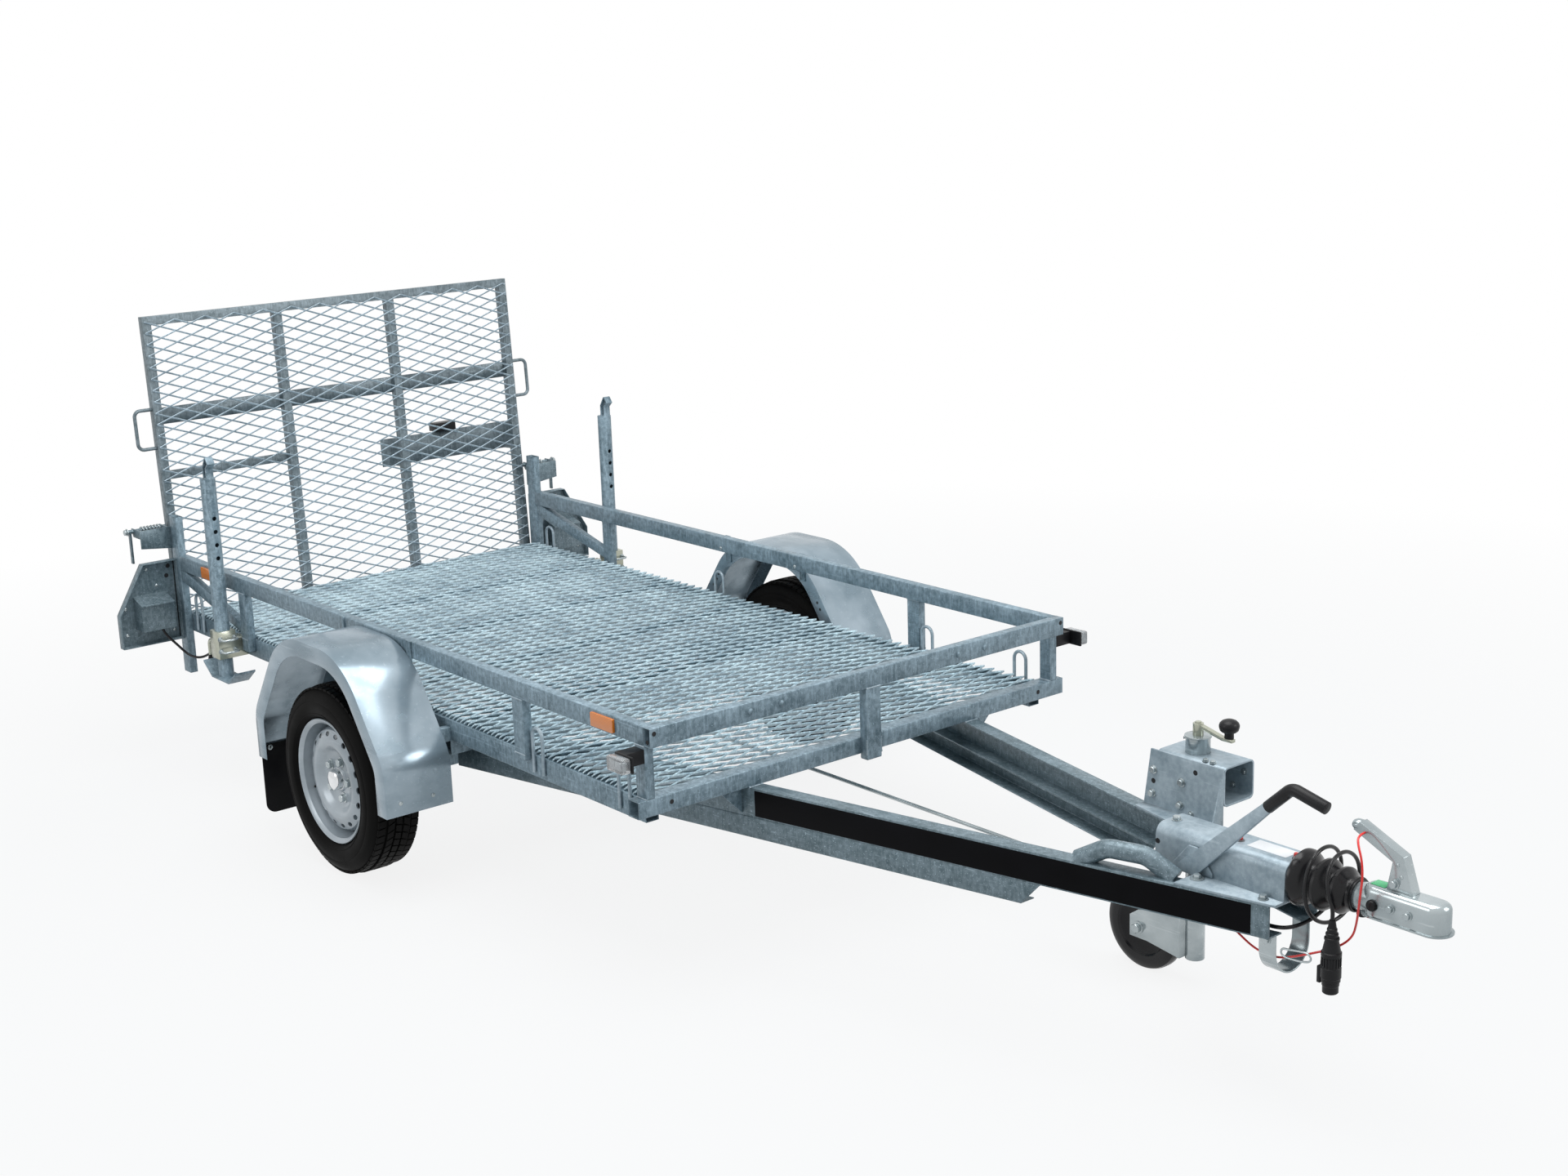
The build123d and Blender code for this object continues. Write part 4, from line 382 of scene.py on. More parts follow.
@dataclass(frozen=True)
class Galvanised(Finish):
    """Hot-dip galvanised steel with clouds, mottling, runs and white specks."""

    slot: str = "galvanised_steel"
    clouds: float = 0.3
    mottle: float = 0.34
    runs: float = 0.3
    specks: float = 0.6
    marks: float = 0.35
    scratches: float = 0.8

    def share(self, wiring: Wiring, place: Socket) -> tuple[Socket, Socket, Socket]:
        """Lays the zinc from its shared groups.

        Args:
            wiring: The material's tree.
            place: The object coordinates.

        Returns:
            How much of the light colour shows, and what roughness and bump follow.
        """
        zinc = wiring.group(Groups.zinc, place).outputs
        marks = wiring.group(Groups.marks, place)
        marks.inputs["Amount"].default_value = self.marks
        share = wiring.maths("MULTIPLY", marks.outputs["Scratches"], self.scratches)
        amounts = {"Cloud": self.clouds, "Mottle": self.mottle, "Runs": self.runs, "Specks": self.specks}
        for output, amount in amounts.items():
            share = wiring.maths("ADD", share, wiring.maths("MULTIPLY", zinc[output], amount))
        return share, zinc["Cloud"], wiring.maths("ADD", zinc["Mottle"], zinc["Specks"])


@dataclass(frozen=True)
class SmoothSheet(Finish):
    """Smooth bright sheet or plating with faint smears and fine scratches."""

    broad: Pattern = Pattern(5.0, 4.0)
    fine_scale: float = 700.0
    fine_detail: float = 2.0
    marks: float = 0.8
    mark_share: float = 0.5

    def share(self, wiring: Wiring, place: Socket) -> tuple[Socket, Socket, Socket]:
        """Lays the sheet's clouds, smears and scratches.

        Args:
            wiring: The material's tree.
            place: The object coordinates.

        Returns:
            How much of the light colour shows, and what roughness and bump follow.
        """
        marks = wiring.group(Groups.marks, place)
        marks.inputs["Amount"].default_value = self.marks
        smears, scratches = marks.outputs["Smears"], marks.outputs["Scratches"]
        share = self.broad.lay(wiring, place)
        share = wiring.maths("SUBTRACT", share, wiring.maths("MULTIPLY", smears, self.mark_share))
        share = wiring.maths("ADD", share, wiring.maths("MULTIPLY", scratches, self.mark_share))
        return share, smears, wiring.noise(place, self.fine_scale, self.fine_detail)


@dataclass(frozen=True)
class MouldedLens:
    """Clear or tinted lens with moulded ribs behind a glossy face."""

    name: str
    colour: Lens
    transmission: float
    slot: str = ""
    ior: float = 1.49
    coat: float = 0.6
    ribs: float = 320.0
    rib_shade: float = 0.55
    rib_bump: float = 0.5
    rib_height: float = 0.0006
    smear: Pattern = Pattern(40.0, 3.0)
    roughness: float = 0.2

    def build(self) -> bpy.types.Material:
        """Builds the lens.

        Returns:
            The material.
        """
        material, wiring, shader = new_material(self.name)
        place = wiring.add("TexCoord").outputs["Object"]
        values = {"Scale": self.ribs, "Randomness": 0.0, "Vector": place}
        prisms = wiring.add("TexVoronoi", values).outputs["Distance"]
        colour = self.colour.value
        shade = tuple(channel * self.rib_shade for channel in colour)
        smear = self.smear.lay(wiring, place)
        for name, value in (
            ("Metallic", 0.0),
            ("Transmission Weight", self.transmission),
            ("IOR", self.ior),
            ("Coat Weight", self.coat),
            ("Base Color", wiring.blend(colour, shade, wiring.spread(prisms, 0.0, 0.8))),
            ("Roughness", wiring.maths("MULTIPLY", smear, self.roughness)),
            ("Normal", wiring.bump(self.rib_bump, self.rib_height, prisms)),
        ):
            wiring.feed(shader.inputs[name], value)
        return material


# Each row: name, dark and light colour, metallic, least and greatest roughness, bump and its height, coat
FINISHES = (
    Galvanised("galvanised_steel", (0.066, 0.107, 0.131), (0.29, 0.38, 0.44), 0.34, 0.34, 0.52, 0.15),
    Galvanised("galvanised_dark", (0.06, 0.095, 0.11), (0.34, 0.42, 0.47), 0.36, 0.34, 0.5, 0.15,
               clouds=0.16, mottle=0.2, runs=0.14, specks=0.75),
    Galvanised("galvanised_pale", (0.165, 0.22, 0.255), (0.41, 0.48, 0.525), 0.36, 0.34, 0.48, 0.1,
               clouds=0.5, mottle=0.25, runs=0.05, specks=0.3),
    # Painted light: the deck's zinc is made far lighter than the frame's, standing in for the light its
    # tilted strands catch
    Galvanised("galvanised_deck_painted_light", (0.23, 0.315, 0.37), (0.82, 0.95, 0.98), 0.06, 0.45, 0.6, 0.15),
    Galvanised("galvanised_mesh", (0.2, 0.26, 0.3), (0.55, 0.64, 0.7), 0.36, 0.36, 0.5, 0.15),
    Galvanised("galvanised_ramp", (0.07, 0.095, 0.105), (0.25, 0.3, 0.33), 0.36, 0.36, 0.52, 0.15),
    SmoothSheet("yellow_zinc", (0.32, 0.33, 0.26), (0.56, 0.57, 0.48), 0.65, 0.2, 0.36, 0.05, 0.0001,
                slot="bright_zinc"),
    SmoothSheet("zinc_sheet", (0.19, 0.25, 0.29), (0.35, 0.42, 0.47), 0.6, 0.2, 0.34, 0.03, 0.0001),
    SmoothSheet("bright_zinc", (0.27, 0.312, 0.325), (0.5, 0.545, 0.555), 0.7, 0.16, 0.32, 0.05, 0.0001),
    SmoothSheet("chromed_cap", (0.55, 0.57, 0.58), (0.86, 0.87, 0.88), 1.0, 0.05, 0.12, 0.02, 0.0001,
                slot="bright_zinc"),
    SmoothSheet("rim_paint", (0.24, 0.275, 0.3), (0.38, 0.42, 0.45), 0.3, 0.28, 0.42, 0.06, 0.0002, 0.25),
    Finish("hub_iron", (0.08, 0.08, 0.085), (0.22, 0.22, 0.23), 0.7, 0.42, 0.6, 0.2),
    Finish("tyre_rubber", (0.0015, 0.0015, 0.0015), (0.006, 0.0056, 0.0052), 0.0, 0.5, 0.7, 0.25, 0.0003,
           shine=0.06),
    Finish("black_rubber", (0.003, 0.003, 0.004), (0.008, 0.008, 0.009), 0.0, 0.2, 0.32, 0.08, 0.0002,
           shine=0.3),
    Finish("flap_rubber", (0.003, 0.003, 0.004), (0.012, 0.012, 0.012), 0.0, 0.5, 0.7, 0.3, shine=0.1),
    Finish("black_plastic", (0.004, 0.004, 0.005), (0.01, 0.01, 0.011), 0.0, 0.3, 0.45, 0.15, 0.0002,
           shine=0.22),
    # Painted shade: a near-black sheet laid on the drawbar beams' outer faces where they lie in shade
    Finish("painted_shade_band", (0.001, 0.001, 0.0015), (0.003, 0.003, 0.004), 0.0, 0.5, 0.6, 0.02, 0.0001,
           shine=0.06, slot="black_plastic"),
    # Painted shade: a near-black finish for the discs that stand in for the shade inside holes
    Finish("painted_hole_shade", (0.004, 0.004, 0.005), (0.012, 0.012, 0.014), 0.2, 0.6, 0.8, 0.1, 0.0002,
           slot="black_plastic"),
    Finish("red_cap", (0.35, 0.01, 0.008), (0.6, 0.03, 0.02), 0.0, 0.3, 0.45, 0.05, 0.0001, 0.2,
           slot="red_lens"),
    Finish("green_patch", (0.02, 0.3, 0.1), (0.05, 0.5, 0.2), 0.0, 0.3, 0.45, 0.05, 0.0001, 0.2,
           slot="black_plastic"),
    Finish("red_cable", (0.55, 0.01, 0.008), (0.78, 0.02, 0.015), 0.0, 0.25, 0.4, 0.05, 0.0001, 0.3,
           slot="black_plastic"),
    Finish("plain_label", (0.5, 0.51, 0.52), (0.66, 0.67, 0.68), 0.2, 0.3, 0.45, 0.02, 0.0001, 0.1,
           slot="zinc_sheet"),
    MouldedLens("clear_lens", Lens.CLEAR, 0.8),
    MouldedLens("red_lens", Lens.RED, 0.2),
    MouldedLens("orange_lens", Lens.ORANGE, 0.1),
)


class Paintbox:
    """Every material, and every slot of the record, by its finish's name."""

    materials: dict[str, bpy.types.Material] = {}
    slots: dict[str, str] = {}

    @classmethod
    def build(cls) -> None:
        """Builds all the finishes."""
        Groups.build()
        for finish in FINISHES:
            cls.materials[finish.name] = finish.build()
            cls.slots[finish.name] = finish.slot or finish.name

    @classmethod
    def dress(cls, piece: Piece, finish: str) -> None:
        """Gives a piece one finish all over.

        Args:
            piece: The mesh or curve.
            finish: The finish's name.
        """
        piece.data.materials.clear()
        piece.data.materials.append(cls.materials[finish])


# Modelling in code


def deselect() -> None:
    """Leaves edit mode and deselects everything."""
    if bpy.context.object is not None and bpy.context.object.mode != "OBJECT":
        bpy.ops.object.mode_set(mode="OBJECT")
    bpy.ops.object.select_all(action="DESELECT")


def pick(piece: Piece) -> None:
    """Makes one piece the only one selected, and the active one.

    Args:
        piece: The piece.
    """
    deselect()
    piece.select_set(True)
    bpy.context.view_layer.objects.active = piece


@contextmanager
def editing(piece: Piece) -> Iterator[None]:
    """Opens a piece in edit mode with all of it selected, and closes it again.

    Args:
        piece: The mesh.

    Yields:
        Nothing, while the piece is open.
    """
    pick(piece)
    bpy.ops.object.mode_set(mode="EDIT")
    bpy.ops.mesh.select_all(action="SELECT")
    yield
    bpy.ops.object.mode_set(mode="OBJECT")


def clean() -> None:
    """Merges the doubled points of the piece in edit mode and turns its faces outwards."""
    bpy.ops.mesh.select_all(action="SELECT")
    bpy.ops.mesh.remove_doubles(threshold=0.00001)
    bpy.ops.mesh.normals_make_consistent(inside=False)


def new_object(name: str, data: bpy.types.ID) -> Piece:
    """Puts data into the scene.

    Args:
        name: The object's name.
        data: Its mesh, curve, lamp or camera.

    Returns:
        The object.
    """
    made = bpy.data.objects.new(name, data)
    bpy.context.scene.collection.objects.link(made)
    return made


def settle(piece: Piece) -> Piece:
    """Puts a piece's place, turn and size into its mesh.

    Args:
        piece: The piece to settle.

    Returns:
        The same piece, at the origin.
    """
    pick(piece)
    bpy.ops.object.transform_apply(location=True, rotation=True, scale=True)
    return piece


def smooth(piece: Piece, degrees: float = 35.0) -> Piece:
    """Shades a piece smooth up to an angle.

    Args:
        piece: The mesh.
        degrees: Edges sharper than this stay sharp.

    Returns:
        The same piece.
    """
    pick(piece)
    bpy.ops.object.shade_smooth_by_angle(angle=math.radians(degrees))
    return piece


def apply_all(piece: Piece) -> Piece:
    """Applies a piece's modifiers in their order.

    Args:
        piece: The mesh.

    Returns:
        The same piece.
    """
    pick(piece)
    for modifier in list(piece.modifiers):
        bpy.ops.object.modifier_apply(modifier=modifier.name)
    return piece


def rounding(piece: Piece, width: float, segments: int, degrees: float) -> bpy.types.Modifier:
    """Adds a bevel to a piece's sharp edges.

    Args:
        piece: The mesh.
        width: The width of the rounding.
        segments: Faces across it.
        degrees: Edges sharper than this are rounded.

    Returns:
        The modifier.
    """
    bevel = piece.modifiers.new("rounding", "BEVEL")
    bevel.width = width
    bevel.segments = segments
    bevel.limit_method = "ANGLE"
    bevel.angle_limit = math.radians(degrees)
    return bevel


def round_edges(piece: Piece, width: float, segments: int = 2) -> Piece:
    """Rounds a piece's sharp edges for good.

    Args:
        piece: The mesh.
        width: The width of the rounding.
        segments: Faces across it.

    Returns:
        The same piece.
    """
    rounding(piece, width, segments, 40)
    return smooth(apply_all(piece))


def cube(name: str, size: Sequence[float], centre: Sequence[float] = ORIGIN) -> Piece:
    """Models a plain block about its centre.

    Args:
        name: The piece's name.
        size: Its three sizes.
        centre: Its centre.

    Returns:
        The piece.
    """
    deselect()
    bpy.ops.mesh.primitive_cube_add(size=1, location=centre)
    piece = bpy.context.object
    piece.name = name
    piece.scale = size
    return settle(piece)


def block(name: str, low: Sequence[float], high: Sequence[float], width: float = 0.0) -> Piece:
    """Models a block between two corners.

    Args:
        name: The piece's name.
        low: Its lowest corner.
        high: Its highest corner.
        width: The width of its rounded edges.

    Returns:
        The piece.
    """
    piece = cube(name, Vector(high) - Vector(low), (Vector(low) + Vector(high)) / 2)
    return round_edges(piece, width) if width else piece


def mirrored(half: Rows) -> list[tuple[float, float]]:
    """Doubles half an outline to the other side of its middle.

    Args:
        half: Rows of radius and place along the axis.

    Returns:
        The whole outline.
    """
    return [*half, *((radius, -reach) for radius, reach in reversed(half))]


def lathe(
    name: str, outline: Rows, centre: Sequence[float], axis: Along, steps: int, closed: bool = False
) -> Piece:
    """Spins an outline into a round piece.

    Args:
        name: The piece's name.
        outline: Rows of radius and place along the axis.
        centre: The centre of the spin.
        axis: What it spins about.
        steps: Faces round it.
        closed: Whether the outline's last point joins its first.

    Returns:
        The piece.
    """
    along = Vector(axis.value)
    out = FORE if axis is Along.Z else UP
    middle = Vector(centre)
    points = [middle + out * radius + along * reach for radius, reach in outline]
    edges = [(place, place + 1) for place in range(len(points) - 1)]
    if closed:
        edges.append((len(points) - 1, 0))
    mesh = bpy.data.meshes.new(name)
    mesh.from_pydata(points, edges, [])
    piece = new_object(name, mesh)
    with editing(piece):
        bpy.ops.mesh.spin(steps=steps, angle=FULL_TURN, center=middle, axis=along)
        clean()
    return smooth(piece)


def turning(name: str, rows: Rows, steps: int, unit: float = MM) -> Piece:
    """Turns a small piece that stands on the origin.

    Args:
        name: The piece's name.
        rows: Rows of radius and rise.
        steps: Faces round it.
        unit: What 1 in the rows stands for, in metres.

    Returns:
        The piece.
    """
    return lathe(name, [(radius * unit, rise * unit) for radius, rise in rows], ORIGIN, Along.Z, steps)


def plate(name: str, size: Sequence[float], thickness: float, frame: Matrix, width: float) -> Piece:
    """Cuts a flat plate with rounded edges.

    Args:
        name: The piece's name.
        size: Its length and height.
        thickness: The plate's thickness, half to each side of its plane.
        frame: Where the plane is: its X and Y axes hold the plate.
        width: The width of its rounded edges.

    Returns:
        The piece.
    """
    flat = bpy.data.curves.new(name, "CURVE")
    flat.dimensions = "2D"
    flat.fill_mode = "BOTH"
    flat.extrude = thickness / 2 - width
    flat.bevel_depth = width
    flat.bevel_resolution = 1
    flat.offset = -width
    spline = flat.splines.new("POLY")
    corners = ((-1, -1), (1, -1), (1, 1), (-1, 1))
    spline.points.add(len(corners) - 1)
    for point, (across, up) in zip(spline.points, corners):
        point.co = (across * size[0] / 2, up * size[1] / 2, 0, 1)
    spline.use_cyclic_u = True
    pick(new_object(name, flat))
    bpy.ops.object.convert(target="MESH")
    piece = bpy.context.object
    piece.data.transform(frame)
    with editing(piece):
        clean()
    return smooth(piece, 30)


def frame_at(origin: Vector, across: Vector, up: Vector) -> Matrix:
    """Works out the frame of a plate's plane.

    Args:
        origin: A point in the plane.
        across: The plane's first axis.
        up: Roughly its second axis.

    Returns:
        The frame as a 4 by 4 matrix.
    """
    first = across.normalized()
    normal = first.cross(up).normalized()
    turned = Matrix((first, normal.cross(first), normal)).transposed().to_4x4()
    return Matrix.Translation(origin) @ turned


def line(
    name: str, points: Rows, radius: float, curved: bool, closed: bool = False, sides: int = 3, steps: int = 6
) -> Piece:
    """Draws a round line as a curve.

    Args:
        name: The curve's name.
        points: The points of its centre line.
        radius: The line's radius.
        curved: Whether it runs in a smooth curve near the points.
        closed: Whether the ends join.
        sides: The bevel's resolution.
        steps: Steps from one point to the next.

    Returns:
        The curve.
    """
    drawn = bpy.data.curves.new(name, "CURVE")
    drawn.dimensions = "3D"
    drawn.bevel_depth = radius
    drawn.bevel_resolution = sides
    drawn.resolution_u = steps
    drawn.use_fill_caps = True
    spline = drawn.splines.new("NURBS" if curved else "POLY")
    spline.points.add(len(points) - 1)
    for point, place in zip(spline.points, points):
        point.co = (*place, 1)
    if curved:
        spline.order_u = 3
        spline.use_endpoint_u = not closed
    spline.use_cyclic_u = closed
    return new_object(name, drawn)


def bar(name: str, points: Rows, radius: float, curved: bool = False, closed: bool = False) -> Piece:
    """Bends a round bar along points.

    Args:
        name: The piece's name.
        points: The points of its centre line.
        radius: The bar's radius.
        curved: Whether it runs in a smooth curve near the points.
        closed: Whether the ends join.

    Returns:
        The piece as a mesh.
    """
    pick(line(name, points, radius, curved, closed))
    bpy.ops.object.convert(target="MESH")
    return smooth(bpy.context.object, 50)


def join(name: str, pieces: Sequence[Piece]) -> Piece:
    """Joins pieces into one.

    Args:
        name: The joined piece's name.
        pieces: The pieces, of which the first stays.

    Returns:
        The joined piece.
    """
    deselect()
    for piece in pieces:
        piece.select_set(True)
    bpy.context.view_layer.objects.active = pieces[0]
    if len(pieces) > 1:
        bpy.ops.object.join()
    joined = bpy.context.object
    joined.name = name
    joined.data.name = name
    return joined


def copies(name: str, piece: Piece, frames: Sequence[Matrix]) -> Piece:
    """Repeats a piece at several frames and joins the copies.

    Args:
        name: The joined piece's name.
        piece: The piece, modelled round the origin, which doesn't stay.
        frames: Where each copy goes.

    Returns:
        The joined copies.
    """
    made = []
    for frame in frames:
        mesh = piece.data.copy()
        mesh.transform(frame)
        if frame.determinant() < 0:
            mesh.flip_normals()
        made.append(new_object(name, mesh))
    bpy.data.objects.remove(piece)
    return join(name, made)


def turned_to(origin: Sequence[float], direction: Sequence[float]) -> Matrix:
    """Works out a frame whose Z axis points in a direction.

    Args:
        origin: Its origin.
        direction: Where its Z axis points.

    Returns:
        The frame.
    """
    turn = Vector(direction).to_track_quat("Z", "Y").to_matrix().to_4x4()
    return Matrix.Translation(Vector(origin)) @ turn


def spun(centre: Vector, angle: float, shift: Sequence[float]) -> Matrix:
    """Works out a frame that is shifted and then spun about a wheel's axis.

    Args:
        centre: The wheel's centre.
        angle: How far it is spun.
        shift: The shift from the centre.

    Returns:
        The frame.
    """
    return Matrix.Translation(centre) @ Matrix.Rotation(angle, 4, "Y") @ Matrix.Translation(shift)


def hex_bolt(size: float) -> Piece:
    """Models a hexagon bolt head on its washer, standing on the origin.

    Args:
        size: The width of the head across its corners.

    Returns:
        The piece.
    """
    washer_shares = ((0, 0), (0.62, 0), (0.62, 0.1), (0.45, 0.14), (0, 0.14))
    washer = turning("washer", washer_shares, 20, size)
    deselect()
    bpy.ops.mesh.primitive_cylinder_add(
        vertices=6, radius=size / 2, depth=size * 0.42, location=(0, 0, size * 0.33)
    )
    head = round_edges(settle(bpy.context.object), size * 0.05, 1)
    return join("bolt", [washer, head])


def dome_rivet(radius: float) -> Piece:
    """Models a low domed rivet head on the origin.

    Args:
        radius: The head's radius.

    Returns:
        The piece.
    """
    return turning("rivet", ((1, 0), (0.96, 0.16), (0.75, 0.34), (0.4, 0.44), (0, 0.47)), 16, radius)


def hole_shade_disc(radius: float) -> Piece:
    """Models a near-black disc of painted shade where a drilled hole is, a hair proud of its face.

    Args:
        radius: The hole's radius in millimetres.

    Returns:
        The piece.
    """
    return turning("hole", ((0, 0), (radius, 0), (radius, 0.3), (0, 0.4)), 20)


def weld_bead(start: Vector, end: Vector, radius: float, ripple: float = 0.004) -> Piece:
    """Models a short uneven weld bead between two points.

    Args:
        start: Its start.
        end: Its end.
        radius: The bead's mean radius.
        ripple: The length of one ripple.

    Returns:
        The piece.
    """
    run = end - start
    count = max(4, int(run.length / ripple))
    outline = [(0.0, 0.0)]
    for place in range(count + 1):
        swell = 1.0 + 0.22 * math.sin(place * 2.6) + 0.12 * math.sin(place * 1.1 + 1.0)
        outline.append((radius * swell, run.length * place / count))
    outline.append((0.0, run.length))
    bead = lathe("bead", outline, ORIGIN, Along.Z, 8)
    bead.data.transform(turned_to(start, run))
    return bead


def seat(piece: Piece, finish: str, body: str = "chassis") -> Piece:
    """Dresses a finished piece and lets it ride on its body.

    Args:
        piece: The finished piece.
        finish: Its finish.
        body: The body it moves with.

    Returns:
        The same piece.
    """
    Paintbox.dress(piece, finish)
    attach(piece, body)
    return piece


def scatter(
    name: str, piece: Piece, rows: Sequence[tuple], finish: str = "bright_zinc", body: str = "chassis"
) -> None:
    """Sets copies of a small piece on faces.

    Args:
        name: The joined copies' name.
        piece: The piece, modelled on the origin with its axis up.
        rows: Rows of point and direction.
        finish: Its finish.
        body: The body it moves with.
    """
    frames = [turned_to(point, direction) for point, direction in rows]
    seat(copies(name, piece, frames), finish, body)


def ahead(reach: float, left: float, up: float) -> Vector:
    """Turns a place of the rows in millimetres into a point of the trailer's frame.

    Args:
        reach: How far forward of the rail's front it is.
        left: How far left of the middle.
        up: How far above the ground.

    Returns:
        The point.
    """
    return Vector(((RAIL_FRONT + reach) * MM, left * MM, up * MM))


def facing(direction: Vector, *places: Sequence[float]) -> list[tuple[Vector, Vector]]:
    """Lets places in millimetres all face one way.

    Args:
        direction: The way they face.
        places: The places.

    Returns:
        Rows of point and direction.
    """
    return [(ahead(*place), direction) for place in places]


def outwards(*places: Sequence[float]) -> list[tuple[Vector, Vector]]:
    """Mirrors places in millimetres to both sides, each facing outwards.

    Args:
        places: The places on the left side.

    Returns:
        Rows of point and direction.
    """
    return [
        (ahead(reach, side * left, up), Vector((0, side, 0)))
        for reach, left, up in places
        for side, _ in SIDES
    ]


def cut_off(piece: Piece, *planes: tuple[Vector, Sequence[float]]) -> None:
    """Cuts off what lies beyond planes and fills the cuts.

    Args:
        piece: The mesh.
        planes: Rows of a point in the plane and its outward direction.
    """
    with editing(piece):
        for point, outward in planes:
            bpy.ops.mesh.select_all(action="SELECT")
            bpy.ops.mesh.bisect(plane_co=point, plane_no=outward, clear_outer=True, use_fill=True)


# Stage


@dataclass(frozen=True)
class Lamp:
    """A soft square lamp hung in the room."""

    name: str
    place: tuple[float, float, float]
    target: tuple[float, float, float]
    size: float
    power: float

    def build(self) -> None:
        """Hangs the lamp and turns it to its target."""
        data = bpy.data.lights.new(self.name, "AREA")
        data.size = self.size
        data.energy = self.power
        lamp = new_object(self.name, data)
        lamp.location = self.place
        lamp.rotation_mode = "QUATERNION"
        lamp.rotation_quaternion = (Vector(self.place) - Vector(self.target)).to_track_quat("Z", "Y")


@dataclass
class Stage:
    """Camera, soft lights and the pale floor."""

    camera_at: tuple[float, float, float] = (4.6049, -3.5711, 2.2688)
    yaw: float = 50.9
    pitch: float = 14.1
    roll: float = -1.9
    lens: float = 49.34
    sensor: float = 36.0
    floor_reach: float = 60.0
    floor_grey: tuple[float, float, float] = (0.36, 0.385, 0.4)
    floor_rough: float = 0.9
    fade_start: float = 2.2
    fade_end: float = 5.5
    floor_white: float = 0.86
    sky_tint: tuple[float, float, float] = (0.88, 0.95, 1.0)
    horizon: float = 0.05
    overhead: float = 0.6
    horizon_light: float = 0.24
    overhead_light: float = 1.0
    lamps: tuple[Lamp, ...] = (
        Lamp("overhead", (0.6, -0.4, 5.2), (-0.2, 0.0, 0.4), 4.0, 250.0),
        Lamp("ahead", (5.6, 2.6, 3.4), (0.4, 0.0, 0.5), 2.6, 120.0),
        Lamp("side", (-1.5, -6.0, 3.2), (-0.4, 0.0, 0.5), 3.0, 70.0),
    )

    def camera(self) -> None:
        """Sets the camera where the photograph was taken from."""
        turn, drop, tilt = (math.radians(value) for value in (self.yaw, self.pitch, self.roll))
        back = Vector((math.sin(turn) * math.cos(drop), -math.cos(turn) * math.cos(drop), math.sin(drop)))
        level = Vector((math.cos(turn), math.sin(turn), 0))
        upright = back.cross(level)
        right = level * math.cos(tilt) + upright * math.sin(tilt)
        up = upright * math.cos(tilt) - level * math.sin(tilt)
        data = bpy.data.cameras.new("camera")
        data.sensor_width = self.sensor
        data.lens = self.lens
        camera = new_object("camera", data)
        turned = Matrix((right, up, back)).transposed().to_4x4()
        camera.matrix_world = Matrix.Translation(Vector(self.camera_at)) @ turned
        bpy.context.scene.camera = camera

    def floor(self) -> None:
        """Lays the pale floor, seen whiter than it lights the trailer and without a horizon."""
        deselect()
        bpy.ops.mesh.primitive_plane_add(size=self.floor_reach, location=ORIGIN)
        floor = bpy.context.object
        floor.name = "floor"
        material, wiring, shader = new_material("pale_floor")
        wiring.feed(shader.inputs["Base Color"], (*self.floor_grey, 1))
        wiring.feed(shader.inputs["Roughness"], self.floor_rough)
        place = wiring.add("TexCoord").outputs["Object"]
        reach = wiring.add("VectorMath", {0: place}, operation="LENGTH").outputs["Value"]
        fade = wiring.spread(reach, self.fade_start, self.fade_end, self.floor_white, 1.0)
        glow = wiring.add("Emission", {"Color": WHITE, "Strength": 1.0}).outputs["Emission"]
        share = wiring.maths("MULTIPLY", wiring.seen(), fade)
        wiring.show(shader.outputs["BSDF"], glow, share, "Material Output")
        floor.data.materials.append(material)

    def world(self) -> None:
        """Fills the room with light, soft and brighter overhead, and shows it white behind the trailer."""
        world = bpy.data.worlds.new("studio")
        bpy.context.scene.world = world
        world.use_nodes = True
        wiring = Wiring(world.node_tree)
        dim = wiring.tree.nodes["Background"]
        way = wiring.add("TexCoord").outputs["Generated"]
        height = wiring.add("SeparateXYZ", {"Vector": way}).outputs["Z"]
        light = wiring.spread(height, self.horizon, self.overhead, self.horizon_light, self.overhead_light)
        wiring.feed(dim.inputs["Color"], (*self.sky_tint, 1))
        wiring.feed(dim.inputs["Strength"], light)
        white = wiring.add("Background", {"Color": WHITE, "Strength": 1.0}).outputs["Background"]
        wiring.show(dim.outputs["Background"], white, wiring.seen(), "World Output")

    def build(self) -> None:
        """Sets the whole stage and the plain view transform."""
        self.camera()
        self.floor()
        self.world()
        for lamp in self.lamps:
            lamp.build()
        bpy.context.scene.view_settings.view_transform = "Standard"
        log.info("stage set")


# Carried-over solids


@dataclass(frozen=True)
class Dressing:
    """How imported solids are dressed: one finish and one edge rounding for a group of nodes."""

    finish: str
    width: float
    nodes: tuple[str, ...]
    merge: float = 0.00002

    def build(self) -> None:
        """Dresses every node of the group, with its edges softly rounded."""
        for name in self.nodes:
            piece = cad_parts[name]
            Paintbox.dress(piece, self.finish)
            piece.modifiers.new("weld", "WELD").merge_threshold = self.merge
            rounding(piece, self.width, 2, 35).harden_normals = False
            smooth(piece, 32)


